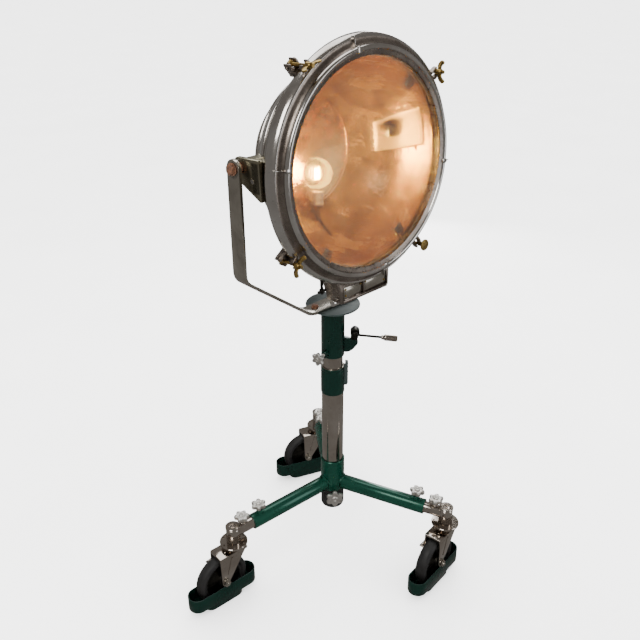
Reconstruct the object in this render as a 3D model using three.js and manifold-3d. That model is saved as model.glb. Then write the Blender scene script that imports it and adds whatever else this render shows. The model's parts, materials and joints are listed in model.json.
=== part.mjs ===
// Searchlight on a three-legged wheeled stand, in millimetres, +Z up.
// The lamp shines along -Y, its trunnion axis lies along X, and the column stands on the Z axis.
import * as THREE from 'three';
import { mergeVertices } from 'three/addons/utils/BufferGeometryUtils.js';
import Module from 'manifold-3d';

const wasm = await Module();
wasm.setup();

// ---- driving dimensions ----
const gap = 0.3; // between pieces that touch
const runningGap = 0.5; // between a piece and the bore it turns or slides in
const fine = 36; // facets round the lamp
const round = 24; // facets round a tube or wheel
const medium = 16; // facets round a boss or eye
const small = 10; // facets round a pin or hole

// casters, which carry everything above them
const wheelDiameter = 160;
const wheelWidth = 36;
const wheelEdge = 11; // rounded shoulder of the tread
const wheelTrail = 50; // post to axle
const wheelHubWidth = 41;
const axleDiameter = 12;
const forkInside = 44;
const forkThickness = 5;
const forkPlateThickness = 7;
const forkFront = -30; // plate's end ahead of the post
const forkEye = 13; // radius of the fork round the axle
const forkWheelRoom = 5; // wheel top to fork plate
const raceDiameter = 46;
const raceHeight = 12.5; // fork plate to flange
const brakeX = 20; // post to the brake's pivot
const brakeDrop = 26; // fork plate down to the brake's pivot
const brakePin = 4;
const cupLength = 222;
const cupWidth = 58;
const cupHeight = 70; // floor to the rim
const cupLedge = 24; // floor to the underside of the wide part
const wellLength = 126; // narrow part under the wheel
const wellWidth = 46;
const cupWall = 3;

// stand
const postRadius = 360; // column axis to each caster post
const legAzimuths = [54, 174, 294];
const casterHeadings = [159, 177, 187]; // from each post to its wheel
const legSlope = 3; // each leg falls outward, degrees
const legRise = 49; // flange up to the leg axis at the column
const legEndRoom = 64; // caster post back to the end of the painted leg tube
const sliderDiameter = 34;
const sliderWall = 2.5;
const sliderInside = 110; // length of slider inside the leg tube
const legWall = 5; // bore to the outside of the leg tube
const socketDiameter = 40;
const stemDiameter = 20;
const capDiameter = 42;
const capThickness = 6;
const flangeDiameter = 80;
const flangeThickness = 6;
const flangeHoles = 6;
const flangeHoleDiameter = 6;
const flangeHoleCircle = 65;
const knobDiameter = 45;
const knobHead = 12;
const knobStem = 4;
const knobRise = 12; // stem showing above its boss
const lockBossHeight = 9;
const lockScrewSlack = 3.5; // slider to the end of the slack lock screw
const lockKnobRoom = 28; // end of the leg tube back to its knob
const swivelKnobRoom = 12; // socket back to its knob
const baseKnobDiameter = 56;
const baseKnobHead = 12;
const baseKnobStem = 5;
const baseKnobAzimuth = 234;
const baseKnobDrop = 12; // bottom of the hub down to the knob
const baseKnobStandoff = 12; // hub to the knob

// column
const riserDiameter = 57;
const riserInside = 330; // length of riser inside the base tube at rest
const riserShown = 36; // length of riser between collar and head tube at rest
const columnWall = 3;
const baseTubeLength = 430.5; // hub bottom to collar top
const hubWall = 4.25;
const hubHeight = 107.5;
const endCapHeight = 70;
const endCapEdge = 8;
const collarWall = 2.2;
const collarHeight = 86;
const collarRibAzimuth = 316;
const collarRibs = 6;
const collarRibHeight = 74;
const headTubeWall = 4.5;
const headTubeLength = 156;
const headKnobDiameter = 40;
const headKnobAzimuth = 192;
const headKnobRise = 17; // head tube bottom up to its knob
const headKnobStandoff = 34;
const tableDiameter = 150;
const tableThickness = 5;
const spigotLength = 60;
const spigotWall = 5;
const tableScrewDrop = 18; // table top down to its screws
const tableScrewAzimuths = [140, 316];
const tableScrewRadius = 2.5;
const leverAzimuth = 316;
const leverRise = 71; // head tube bottom up to the lever's shaft
const leverStandoff = 29; // head tube to the lever's shaft
const leverSide = 17; // shaft middle sideways to the rod
const leverShaft = 5;
const leverLength = 118;
const leverDiameter = 7;
const leverDroop = 6;
const earThickness = 16;
const gripDiameter = 18;
const gripLength = 45;

// lamp, measured back from the front face of the glass
const windowDiameter = 500;
const glassLap = 8; // glass edge beyond the window
const glassThickness = 6;
const bezelBreadth = 50; // window edge to the ring's outside
const drumWall = 3;
const drumLineSteps = [[9, 56], [-1, 80], [-11, 118], [-28, 150], [-48, 180], [-72, 208], [-93, 232]];
const flangeFront = 40;
const flangeThick = 16;
const flangeInset = 13; // drum flange inside the bezel's edge
const rearLip = 16; // cover's lip beyond its dome
const domeRise = 34;
const reflectorGap = 9; // reflector to drum wall
const reflectorWall = 1.5;
const mirrorDepth = 238;
const mirrorInset = 107; // mirror's edge inside the window's
const mirrorSag = 16;
const bulbDepth = 195;
const bulbDrop = 50; // optical axis down to the bulb's centre
const bulbDiameter = 72;
const bulbNeck = 22;
const holderDiameter = 27;
const holderHeight = 38;
const leadsInset = 69; // end of the leads inside the window's radius
const clampStandoff = 9; // clamp bolt outside the bezel
const clampAngles = [-126.5, -36.5, 53.5, 143.5]; // clockwise from the lamp's right
const clampBolt = 9;
const clampPivotDepth = 60;
const castingWidth = 168;
const castingTop = 12; // beyond the window's radius
const castingDepth = 52;
const castingDrop = 95; // its lowest edge beyond the window's radius
const screwAngle = 118;
const latchAngle = -16;
const lampTilt = 3.4;
const opticalDrop = 34; // trunnion axis down to the optical axis
const trunnionDepth = 130;
const bracketFoot = 72; // height of the trunnion bracket where it meets the drum

// yoke
const yokeRoom = 8; // bezel to the middle of each arm
const bracketRoom = 16; // middle of each arm in to the lamp's bracket
const yokeFoot = 100; // half length of the flat base
const yokeWidth = 45;
const yokeThickness = 9;
const yokeCornerRise = 161; // table top to where the arms turn upright
const yokeClearance = 188; // table top to trunnion, beyond the window's radius
const trunnionDiameter = 16;
const trunnionHead = 11;
const baseBoltPlace = 66;
const boltRadius = 5;

// ---- sizes that follow from those ----
const wheelRadius = wheelDiameter / 2;
const axleHeight = wheelRadius + cupWall + 0.5;
const plateBottom = axleHeight + wheelRadius + forkWheelRoom;
const plateTop = plateBottom + forkPlateThickness;
const flangeBottom = plateTop + raceHeight;
const flangeTop = flangeBottom + flangeThickness;
const sliderRadius = sliderDiameter / 2;
const legBore = sliderRadius + runningGap;
const legRadius = legBore + legWall;
const legHeight = flangeTop + legRise;
const legEnd = postRadius - legEndRoom;
const slope = THREE.MathUtils.degToRad(legSlope);
const postHeight = legHeight - postRadius * Math.tan(slope);
const socketBottom = flangeTop + runningGap;
const capTop = postHeight + sliderRadius + 7.6;
const socketTop = capTop - capThickness - runningGap;
const lockKnobPlace = legEnd - lockKnobRoom;
const swivelKnobPlace = postRadius - socketDiameter / 2 - swivelKnobRoom;
const swivelKnobBase = postHeight + sliderRadius + 6;

const riserRadius = riserDiameter / 2;
const baseTubeRadius = riserRadius + runningGap + columnWall;
const hubRadius = baseTubeRadius + hubWall;
const hubBore = baseTubeRadius + gap;
const hubBottom = legHeight - legRadius - 1;
const hubTop = hubBottom + hubHeight;
const baseKnobHeight = hubBottom - baseKnobDrop;
const collarRadius = baseTubeRadius + collarWall;
const collarTop = hubBottom + baseTubeLength;
const collarBottom = collarTop - collarHeight;
const headTubeRadius = riserRadius + headTubeWall;
const headBore = riserRadius + gap;
const headTubeBottom = collarTop + riserShown;
const headKnobHeight = headTubeBottom + headKnobRise;
const tableBottom = headTubeBottom + headTubeLength;
const tableTop = tableBottom + tableThickness;
const tableScrewHeight = tableTop - tableScrewDrop;
const spigotRadius = riserRadius - gap;
const leverHeight = headTubeBottom + leverRise;
const leverPivot = headTubeRadius + leverStandoff;

const windowRadius = windowDiameter / 2;
const glassRadius = windowRadius + glassLap;
const bezelRadius = windowRadius + bezelBreadth;
const flangeRadius = bezelRadius - flangeInset;
const flangeBack = flangeFront + flangeThick;
const drumLine = drumLineSteps.map(([beyond, depth]) => [windowRadius + beyond, depth]);
const drumFront = drumLine[0][0];
const drumDepth = drumLine[drumLine.length - 1][1];
const rearRadius = drumLine[drumLine.length - 1][0] - 4;
const mirrorRadius = windowRadius - mirrorInset;
const bulbRadius = bulbDiameter / 2;
const neckRadius = bulbNeck / 2;
const holderTop = -bulbRadius - 10;
const clampRadius = bezelRadius + clampStandoff;
const castingBottom = windowRadius + castingDrop;
const latchRadius = flangeRadius - 8;
const latchX = latchRadius * Math.cos(THREE.MathUtils.degToRad(latchAngle));
const latchY = latchRadius * Math.sin(THREE.MathUtils.degToRad(latchAngle));
const screwX = flangeRadius * Math.cos(THREE.MathUtils.degToRad(screwAngle));
const screwY = flangeRadius * Math.sin(THREE.MathUtils.degToRad(screwAngle));
const yokeHalfWidth = bezelRadius + yokeRoom;
const bracketOuter = yokeHalfWidth - bracketRoom;
const yokeCorner = tableTop + yokeCornerRise;
const strapBottom = tableTop + gap;
const trunnionHeight = tableTop + windowRadius + yokeClearance;
const trunnionBore = trunnionDiameter / 2 + gap;

// ---- materials ----
const paint = new THREE.MeshStandardMaterial({ color: 0x12513d, roughness: 0.32, metalness: 0.2 });
const chrome = new THREE.MeshStandardMaterial({ color: 0xb9b4ac, roughness: 0.16, metalness: 1 });
const castMetal = new THREE.MeshStandardMaterial({ color: 0xb0aca4, roughness: 0.42, metalness: 1 });
const agedNickel = new THREE.MeshStandardMaterial({ color: 0x8d877a, roughness: 0.3, metalness: 1 });
const brass = new THREE.MeshStandardMaterial({ color: 0xa98942, roughness: 0.34, metalness: 1 });
const darkIron = new THREE.MeshStandardMaterial({ color: 0x24221f, roughness: 0.55, metalness: 0.7 });
const rustyIron = new THREE.MeshStandardMaterial({ color: 0x4a2a1c, roughness: 0.8, metalness: 0.4 });
const blackRubber = new THREE.MeshStandardMaterial({ color: 0x1b1a19, roughness: 0.75, metalness: 0 });
const mirrorMetal = new THREE.MeshStandardMaterial({ color: 0xd8b48c, roughness: 0.12, metalness: 1 });
const clearGlass = new THREE.MeshStandardMaterial({
  color: 0xffffff, roughness: 0.03, metalness: 0, transparent: true, opacity: 0.25,
});
const ceramic = new THREE.MeshStandardMaterial({ color: 0xe9e2d3, roughness: 0.5, metalness: 0 });
const glowing = new THREE.MeshStandardMaterial({ color: 0xffe2a8, roughness: 0.4, metalness: 0.2 });
const leadCover = new THREE.MeshStandardMaterial({ color: 0x8a6a2c, roughness: 0.7, metalness: 0 });
const tableGrey = new THREE.MeshStandardMaterial({ color: 0x6f8078, roughness: 0.45, metalness: 0.4 });

// ---- shape helpers ----
const radians = THREE.MathUtils.degToRad;

/** A profile of [radius, height] points turned about Z. It runs anticlockwise, so faces point out. */
function turned(profile, facets) {
  const points = profile.map(([radius, height]) => new THREE.Vector2(radius, height));
  if (THREE.ShapeUtils.area(points) < 0) points.reverse();
  return new THREE.LatheGeometry(points, facets).rotateX(Math.PI / 2);
}

function rod(radius, bottom, top, facets = small) {
  return turned([[0, bottom], [radius, bottom], [radius, top], [0, top]], facets);
}

function pipe(outer, inner, bottom, top, facets = round) {
  return turned([[inner, bottom], [outer, bottom], [outer, top], [inner, top], [inner, bottom]], facets);
}

function prism(shape, depth, steps = 8) {
  return new THREE.ExtrudeGeometry(shape, { depth, bevelEnabled: false, curveSegments: steps });
}

function outline(points) {
  return new THREE.Shape(points.map(([x, y]) => new THREE.Vector2(x, y)));
}

function block(lengthX, lengthY, lengthZ, x = 0, y = 0, z = 0) {
  return new THREE.BoxGeometry(lengthX, lengthY, lengthZ).translate(x, y, z);
}

/** A round bar swept along points. */
function swept(points, radius, sides, steps) {
  const circle = new THREE.Shape().absarc(0, 0, radius, 0, 2 * Math.PI);
  const extrudePath = new THREE.CatmullRomCurve3(points);
  const options = { steps, bevelEnabled: false, extrudePath, curveSegments: sides };
  return new THREE.ExtrudeGeometry(circle, options);
}

function toSolid(geometry) {
  const bare = geometry.clone();
  for (const name of Object.keys(bare.attributes)) {
    if (name !== 'position') bare.deleteAttribute(name);
  }
  const merged = mergeVertices(bare, 1e-3);
  const vertProperties = new Float32Array(merged.attributes.position.array);
  const corners = [...merged.index.array];
  const triVerts = [];
  for (let i = 0; i < corners.length; i += 3) {
    const [a, b, c] = corners.slice(i, i + 3);
    if (a !== b && b !== c && c !== a) triVerts.push(a, b, c);
  }
  return new wasm.Manifold(new wasm.Mesh({
    numProp: 3, vertProperties, triVerts: new Uint32Array(triVerts),
  }));
}

function toGeometry(solid) {
  const result = solid.getMesh();
  const geometry = new THREE.BufferGeometry();
  geometry.setAttribute('position', new THREE.BufferAttribute(result.vertProperties, 3));
  geometry.setIndex(new THREE.BufferAttribute(result.triVerts, 1));
  return geometry;
}

function joined(pieces, cuts = []) {
  let solid = pieces.map(toSolid).reduce((whole, piece) => whole.add(piece));
  for (const cut of cuts) solid = solid.subtract(toSolid(cut));
  return toGeometry(solid);
}

function named(name, geometry, material) {
  const mesh = new THREE.Mesh(geometry, material);
  mesh.name = name;
  return mesh;
}

function turnedGroup(parent, angle) {
  const group = new THREE.Group();
  group.rotation.z = radians(angle);
  parent.add(group);
  return group;
}

/** Star knob: lobed head on a stem that runs down -Z from the origin at the head's underside. */
function starKnob(diameter, lobes, headHeight, stemRadius, stemLength) {
  const outerRadius = diameter / 2;
  const depth = outerRadius * 0.13;
  const steps = lobes * 4;
  const shape = new THREE.Shape();
  for (let i = 0; i < steps; i += 1) {
    const angle = (2 * Math.PI * i) / steps;
    const radius = outerRadius - depth * (1 - Math.cos(lobes * angle));
    const x = radius * Math.cos(angle);
    const y = radius * Math.sin(angle);
    if (i === 0) shape.moveTo(x, y);
    else shape.lineTo(x, y);
  }
  shape.closePath();
  const boss = rod(outerRadius * 0.42, -headHeight * 0.5, headHeight * 0.5);
  return joined([prism(shape, headHeight), boss, rod(stemRadius, -stemLength, headHeight * 0.25, small)]);
}

// ---- stand ----
const standGroup = new THREE.Group();

/** Moves geometry built along +X with the leg's slope into the leg's upright frame. */
function alongLeg(geometry) {
  return geometry.rotateY(slope).translate(0, 0, legHeight);
}

function legTube(outer, from, to) {
  return alongLeg(rod(outer, from, to, round).rotateY(Math.PI / 2));
}

function baseSpider() {
  const pieces = [rod(hubRadius, hubBottom, hubTop, round)];
  const cuts = [rod(hubBore, hubBottom - 1, hubTop + 1, round)];
  for (const azimuth of legAzimuths) {
    const turn = radians(azimuth);
    pieces.push(legTube(legRadius, baseTubeRadius * 0.6, legEnd).rotateZ(turn));
    const bossTop = legRadius + lockBossHeight;
    pieces.push(alongLeg(rod(9, legRadius - 3, bossTop).translate(lockKnobPlace, 0, 0)).rotateZ(turn));
    cuts.push(legTube(legBore, hubRadius + 4, legEnd + 1).rotateZ(turn));
    const knobHole = rod(knobStem + gap, 5, bossTop + 1, small).translate(lockKnobPlace, 0, 0);
    cuts.push(alongLeg(knobHole).rotateZ(turn));
  }
  cuts.push(rod(hubRadius + 1, hubBottom - 30, hubBottom, round));
  return named('base_spider', joined(pieces, cuts), paint);
}

function baseKnobHole() {
  const start = baseTubeRadius - runningGap;
  const hole = rod(baseKnobStem + gap, start, 2 * hubRadius, small).rotateY(Math.PI / 2);
  return hole.rotateZ(radians(baseKnobAzimuth)).translate(0, 0, baseKnobHeight);
}

function baseKnob() {
  const start = hubRadius + baseKnobStandoff;
  const knob = starKnob(baseKnobDiameter, 6, baseKnobHead, baseKnobStem, start - baseTubeRadius - gap);
  const mesh = named('base_lock_knob', knob, castMetal);
  const turn = new THREE.Matrix4().makeRotationZ(radians(baseKnobAzimuth));
  const out = new THREE.Matrix4().makeTranslation(start, 0, baseKnobHeight);
  const lay = new THREE.Matrix4().makeRotationY(Math.PI / 2);
  mesh.applyMatrix4(turn.multiply(out).multiply(lay));
  return mesh;
}

function baseTube() {
  const bottom = hubBottom + 1;
  const inner = baseTubeRadius - columnWall;
  return named('base_tube', pipe(baseTubeRadius, inner, bottom, collarTop - 4, round), chrome);
}

function baseEndCap() {
  const radius = hubRadius - 1.2;
  const top = hubBottom - gap;
  const bottom = top - endCapHeight;
  const edge = endCapEdge;
  const profile = [[0, bottom], [radius - edge, bottom], [radius - edge * 0.3, bottom + edge * 0.3]];
  profile.push([radius, bottom + edge], [radius, top], [0, top]);
  return named('base_end_cap', joined([turned(profile, round)], [baseKnobHole()]), blackRubber);
}

function legSlider() {
  const tube = legTube(sliderRadius, legEnd - sliderInside, postRadius - 4);
  const socket = rod(socketDiameter / 2, socketBottom, socketTop, round).translate(postRadius, 0, 0);
  const stemBore = rod(stemDiameter / 2 + runningGap, 0, capTop, medium).translate(postRadius, 0, 0);
  const boreEnd = postRadius - socketDiameter / 2;
  const tubeBore = legTube(sliderRadius - sliderWall, legEnd - sliderInside - 1, boreEnd);
  const top = postHeight + 2;
  const boss = rod(8, top, swivelKnobBase).translate(swivelKnobPlace, 0, 0);
  const hole = rod(knobStem + gap, top - 20, capTop + 40, small).translate(swivelKnobPlace, 0, 0);
  return joined([tube, socket, boss], [stemBore, tubeBore, hole]);
}

function lockKnob() {
  const stemBase = legRadius + lockBossHeight + knobRise;
  const stemLength = stemBase - sliderRadius - lockScrewSlack;
  const knob = starKnob(knobDiameter, 6, knobHead, knobStem, stemLength);
  return alongLeg(knob.translate(lockKnobPlace, 0, stemBase));
}

function swivelKnob() {
  const base = swivelKnobBase + knobRise;
  const knob = starKnob(knobDiameter, 6, knobHead, knobStem, knobRise + 5);
  return knob.translate(swivelKnobPlace, 0, base);
}

// ---- casters, in a frame with +X from the post to the wheel ----
function casterStem() {
  const stem = stemDiameter / 2;
  const flange = flangeDiameter / 2;
  const cap = capDiameter / 2;
  const capBottom = capTop - capThickness;
  const profile = [[0, plateTop + gap], [raceDiameter / 2, plateTop + gap], [raceDiameter / 2, flangeBottom]];
  profile.push([flange, flangeBottom], [flange, flangeTop], [stem, flangeTop], [stem, capBottom]);
  profile.push([cap, capBottom], [cap, capTop], [9, capTop], [9, capTop - 2.5]);
  profile.push([0, capTop - 2.5]);
  const cuts = [];
  for (let i = 0; i < flangeHoles; i += 1) {
    const hole = rod(flangeHoleDiameter / 2, flangeBottom - 1, flangeTop + 1, 6);
    hole.translate(flangeHoleCircle / 2, 0, 0).rotateZ((2 * Math.PI * i) / flangeHoles);
    cuts.push(hole);
  }
  return joined([turned(profile, medium)], cuts);
}

function casterFork() {
  const front = forkFront;
  const back = wheelTrail + forkEye - 1;
  const width = forkInside + 2 * forkThickness;
  const plate = block(back - front, width, forkPlateThickness);
  const pieces = [plate.translate((back + front) / 2, 0, (plateBottom + plateTop) / 2)];
  for (const side of [-1, 1]) {
    const shape = new THREE.Shape();
    shape.moveTo(front + 8, plateBottom + 1);
    shape.lineTo(wheelTrail - forkEye, axleHeight);
    shape.absarc(wheelTrail, axleHeight, forkEye, Math.PI, 2 * Math.PI, false);
    shape.lineTo(back, plateBottom + 1);
    shape.closePath();
    const cheek = prism(shape, forkThickness).rotateX(Math.PI / 2);
    pieces.push(cheek.translate(0, side > 0 ? width / 2 : forkThickness - width / 2, 0));
    const nut = rod(11, width / 2 - 0.5, width / 2 + 8, 6).rotateX((-Math.PI / 2) * side);
    pieces.push(nut.translate(wheelTrail, 0, axleHeight));
  }
  const axle = rod(axleDiameter / 2, -width / 2 - 12, width / 2 + 12).rotateX(Math.PI / 2);
  pieces.push(axle.translate(wheelTrail, 0, axleHeight));
  return joined(pieces, [brakePinHole()]);
}

function casterWheel() {
  const half = wheelWidth / 2;
  const bore = axleDiameter / 2 + runningGap;
  const profile = [[bore, -wheelHubWidth / 2], [20, -wheelHubWidth / 2], [24, -11], [wheelRadius - 20, -11]];
  profile.push([wheelRadius - wheelEdge, -half], [wheelRadius - 2, -half * 0.5], [wheelRadius, 0]);
  const mirrored = profile.slice(0, -1).reverse().map(([radius, height]) => [radius, -height]);
  const wheel = turned([...profile, ...mirrored, profile[0]], round);
  return wheel.rotateX(Math.PI / 2).translate(wheelTrail, 0, axleHeight);
}

function brakePinHole() {
  const width = forkInside + 2 * forkThickness;
  const hole = rod(brakePin + gap, width / 2 - 12, width / 2 + 12, small).rotateX(Math.PI / 2);
  return hole.translate(brakeX, 0, plateBottom - brakeDrop);
}

function brakeLever() {
  const outside = forkInside / 2 + forkThickness + gap;
  const shape = new THREE.Shape();
  shape.moveTo(-9, -4);
  shape.absarc(0, 0, 10, Math.PI * 1.15, Math.PI * 1.75, false);
  shape.lineTo(54, -14);
  shape.lineTo(58, -4);
  shape.lineTo(10, 6);
  shape.lineTo(-4, 8);
  shape.closePath();
  const arm = prism(shape, 6).rotateX(Math.PI / 2);
  const pad = block(16, 16, 4, 50, -8, -8);
  const pin = rod(brakePin, -forkThickness + 0.5, 10, small).rotateX(Math.PI / 2);
  const lever = joined([arm, pad, pin]);
  return lever.translate(brakeX, -outside, plateBottom - brakeDrop);
}

/** Round-ended slab of the floor cup, `inset` inside its outline, from one height to another. */
function cupSlab(length, width, inset, from, to) {
  const end = width / 2 - inset;
  const straight = (length - width) / 2;
  const shape = new THREE.Shape();
  shape.moveTo(-straight, -end);
  shape.lineTo(straight, -end);
  shape.absarc(straight, 0, end, -Math.PI / 2, Math.PI / 2, false);
  shape.lineTo(-straight, end);
  shape.absarc(-straight, 0, end, Math.PI / 2, 1.5 * Math.PI, false);
  return prism(shape, to - from, 8).translate(wheelTrail, 0, from);
}

function floorCup() {
  const wide = cupSlab(cupLength, cupWidth, 0, cupLedge, cupHeight);
  const well = cupSlab(wellLength, wellWidth, 0, 0, cupLedge + 1);
  const room = cupSlab(cupLength, cupWidth, cupWall, cupLedge + cupWall, cupHeight + 1);
  const wellRoom = cupSlab(wellLength, wellWidth, cupWall, cupWall, cupHeight);
  return joined([wide, well], [room, wellRoom]);
}

standGroup.add(baseSpider(), baseTube(), baseEndCap(), baseKnob());
legAzimuths.forEach((azimuth, index) => {
  const number = index + 1;
  const leg = turnedGroup(standGroup, azimuth);
  leg.add(named(`leg_slider_${number}`, legSlider(), chrome));
  leg.add(named(`leg_lock_knob_${number}`, lockKnob(), castMetal));
  leg.add(named(`swivel_lock_knob_${number}`, swivelKnob(), castMetal));
  const caster = turnedGroup(leg, casterHeadings[index] - azimuth);
  caster.position.set(postRadius, 0, 0);
  caster.add(named(`caster_stem_${number}`, casterStem(), chrome));
  caster.add(named(`caster_fork_${number}`, casterFork(), chrome));
  caster.add(named(`caster_wheel_${number}`, casterWheel(), blackRubber));
  caster.add(named(`brake_lever_${number}`, brakeLever(), chrome));
  caster.add(named(`floor_cup_${number}`, floorCup(), paint));
});

// ---- column ----
const columnGroup = new THREE.Group();

function collar() {
  const outer = collarRadius;
  const inner = baseTubeRadius + gap;
  const tubeEnd = collarTop - 3.4;
  const profile = [[inner, collarBottom], [outer - 0.8, collarBottom], [outer, collarBottom + 1]];
  profile.push([outer, collarTop - 1.5], [outer - 1, collarTop], [riserRadius + runningGap, collarTop]);
  profile.push([riserRadius + runningGap, tubeEnd], [inner, tubeEnd], [inner, collarBottom]);
  const ribTop = collarTop + 12;
  const pitch = collarRibHeight / collarRibs;
  const web = block(10, 14, collarRibHeight, outer + 3, 0, ribTop - collarRibHeight / 2);
  const pieces = [turned(profile, round), web];
  for (let i = 0; i < collarRibs; i += 1) {
    pieces.push(block(8, 17, pitch / 2, outer + 6, 0, ribTop - pitch * (i + 0.5)));
  }
  const bore = rod(inner, collarBottom - 40, tubeEnd, round);
  const riserBore = rod(riserRadius + runningGap, collarTop - 4, collarTop + 30, round);
  return named('riser_collar', joined(pieces, [bore, riserBore]).rotateZ(radians(collarRibAzimuth)), paint);
}

function riserTube() {
  const inner = riserRadius - columnWall;
  const bottom = collarTop - riserInside;
  const top = tableBottom - spigotLength - 10;
  return named('riser_tube', pipe(riserRadius, inner, bottom, top, round), chrome);
}

function headTube() {
  const outer = headTubeRadius;
  const top = tableBottom - gap;
  const stopLedge = top - spigotLength - 4;
  const tube = pipe(outer, headBore, headTubeBottom, top, round);
  const lug = block(24, 16, 22, outer + 6, 0, headKnobHeight).rotateZ(radians(headKnobAzimuth));
  const ear = new THREE.Shape();
  ear.moveTo(0, -26);
  ear.lineTo(14, -24);
  ear.lineTo(leverStandoff + 12, 2);
  ear.lineTo(leverStandoff + 6, 10);
  ear.lineTo(0, 18);
  ear.closePath();
  const bracket = prism(ear, earThickness).rotateX(Math.PI / 2);
  bracket.translate(outer - 2, 10, leverHeight - 34.8);
  const knobHole = rod(baseKnobStem + gap, 0, outer + 30, small).rotateY(Math.PI / 2);
  const cuts = [
    rod(headBore, headTubeBottom - 1, top + 1, round),
    knobHole.translate(0, 0, headKnobHeight).rotateZ(radians(headKnobAzimuth)),
  ];
  for (const azimuth of tableScrewAzimuths) {
    const hole = rod(tableScrewRadius + gap, 0, outer + 10, small).rotateY(Math.PI / 2);
    cuts.push(hole.translate(0, 0, tableScrewHeight).rotateZ(radians(azimuth)));
  }
  const ledge = pipe(headBore + 1, headBore - 8, stopLedge, stopLedge + 3, round);
  const body = joined([tube, lug, bracket.rotateZ(radians(leverAzimuth))], cuts);
  return named('head_tube', joined([body, ledge]), paint);
}

function tableScrew(azimuth) {
  const outer = headTubeRadius;
  const inner = spigotRadius + runningGap;
  const stem = rod(tableScrewRadius, inner, outer + 9, small);
  const head = rod(5, outer + 7, outer + 12, small);
  const screw = joined([stem, head]).rotateY(Math.PI / 2);
  return screw.translate(0, 0, tableScrewHeight).rotateZ(radians(azimuth));
}

function headKnob() {
  const start = headTubeRadius + headKnobStandoff;
  const knob = starKnob(headKnobDiameter, 6, 11, baseKnobStem, start - riserRadius - gap);
  return knob.rotateY(Math.PI / 2).translate(start, 0, headKnobHeight).rotateZ(radians(headKnobAzimuth));
}

/** Clamp housing: an eye on the bracket that the lever's shaft passes through. */
function leverHousing() {
  const eye = pipe(13, leverShaft + runningGap, -12, 12, medium).rotateX(Math.PI / 2);
  const foot = block(16, 22, 10, -2, 0, -15);
  const bore = rod(leverShaft + runningGap, -14, 14, medium).rotateX(Math.PI / 2);
  const solid = joined([eye, foot], [bore]);
  return solid.translate(leverPivot, 0, leverHeight).rotateZ(radians(leverAzimuth));
}

function clampLever() {
  const shaft = rod(leverShaft, -15, 15, small).rotateX(Math.PI / 2);
  const head = rod(9, 12.5, 22, small).rotateX(Math.PI / 2);
  const arm = rod(leverDiameter / 2, 0, leverLength - gripLength + 6, 10);
  arm.rotateY(Math.PI / 2 + radians(leverDroop)).translate(0, -leverSide, 0);
  const solid = joined([shaft, head, arm]);
  return solid.translate(leverPivot, 0, leverHeight).rotateZ(radians(leverAzimuth));
}

function leverGrip() {
  const start = leverLength - gripLength;
  const bore = leverDiameter / 2 + gap;
  const outer = gripDiameter / 2;
  const profile = [[bore, start], [outer - 3, start], [outer - 2, start + 8], [outer, start + 12]];
  profile.push([outer, start + gripLength - 2], [outer - 2, start + gripLength], [0, start + gripLength]);
  profile.push([0, start + 8], [bore, start + 8], [bore, start]);
  const grip = turned(profile, medium).rotateY(Math.PI / 2 + radians(leverDroop));
  grip.translate(0, -leverSide, 0);
  return grip.translate(leverPivot, 0, leverHeight).rotateZ(radians(leverAzimuth));
}

function tableDisc() {
  const disc = rod(tableDiameter / 2, tableBottom, tableTop, round);
  const spigotBottom = tableBottom - spigotLength;
  const spigot = pipe(spigotRadius, spigotRadius - spigotWall, spigotBottom, tableBottom + 1, round);
  return named('table_disc', joined([disc, spigot], boltHoles(tableBottom - 1, tableTop + 1)), tableGrey);
}

function boltHoles(bottom, top) {
  const radius = boltRadius + gap;
  return [-1, 1].map((side) => rod(radius, bottom, top, small).translate(side * baseBoltPlace, 0, 0));
}

columnGroup.add(collar(), riserTube(), headTube());
columnGroup.add(named('head_lock_knob', headKnob(), castMetal));
columnGroup.add(named('lever_housing', leverHousing(), darkIron));
columnGroup.add(named('clamp_lever', clampLever(), darkIron));
columnGroup.add(named('lever_grip', leverGrip(), chrome));
columnGroup.add(tableDisc());
columnGroup.add(named('table_screw_left', tableScrew(tableScrewAzimuths[0]), darkIron));
columnGroup.add(named('table_screw_right', tableScrew(tableScrewAzimuths[1]), darkIron));

// ---- yoke ----

function yokeStrap() {
  const t = yokeThickness;
  const w = yokeHalfWidth + t / 2;
  const inner = w - t;
  const slant = Math.atan2(yokeCorner - strapBottom, w - yokeFoot);
  const rise = t * Math.tan(slant / 2);
  const bend = t * Math.tan((Math.PI / 2 - slant) / 2);
  const half = [[yokeFoot, strapBottom], [w, yokeCorner], [w, trunnionHeight]];
  const back = [[inner, trunnionHeight], [inner, yokeCorner + bend], [yokeFoot - rise, strapBottom + t]];
  const right = [...half, ...back];
  const left = right.map(([x, z]) => [-x, z]).reverse();
  const strap = prism(outline([...right, ...left]), yokeWidth).rotateX(Math.PI / 2);
  const pieces = [strap.translate(0, yokeWidth / 2, 0)];
  const cuts = boltHoles(strapBottom - 1, strapBottom + t + 1);
  for (const side of [-1, 1]) {
    const eye = rod(yokeWidth / 2, -t / 2, t / 2, medium).rotateY(Math.PI / 2);
    pieces.push(eye.translate(side * yokeHalfWidth, 0, trunnionHeight));
    const bore = rod(trunnionBore, -t, t, medium).rotateY(Math.PI / 2);
    cuts.push(bore.translate(side * yokeHalfWidth, 0, trunnionHeight));
  }
  return named('yoke', joined(pieces, cuts), agedNickel);
}

function yokeBolt(side) {
  const top = strapBottom + yokeThickness + gap;
  const head = rod(9, top, top + 7, 6);
  const shank = rod(boltRadius, tableBottom - 9, top + 1, small);
  return joined([head, shank]).translate(side * baseBoltPlace, 0, 0);
}

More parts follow.
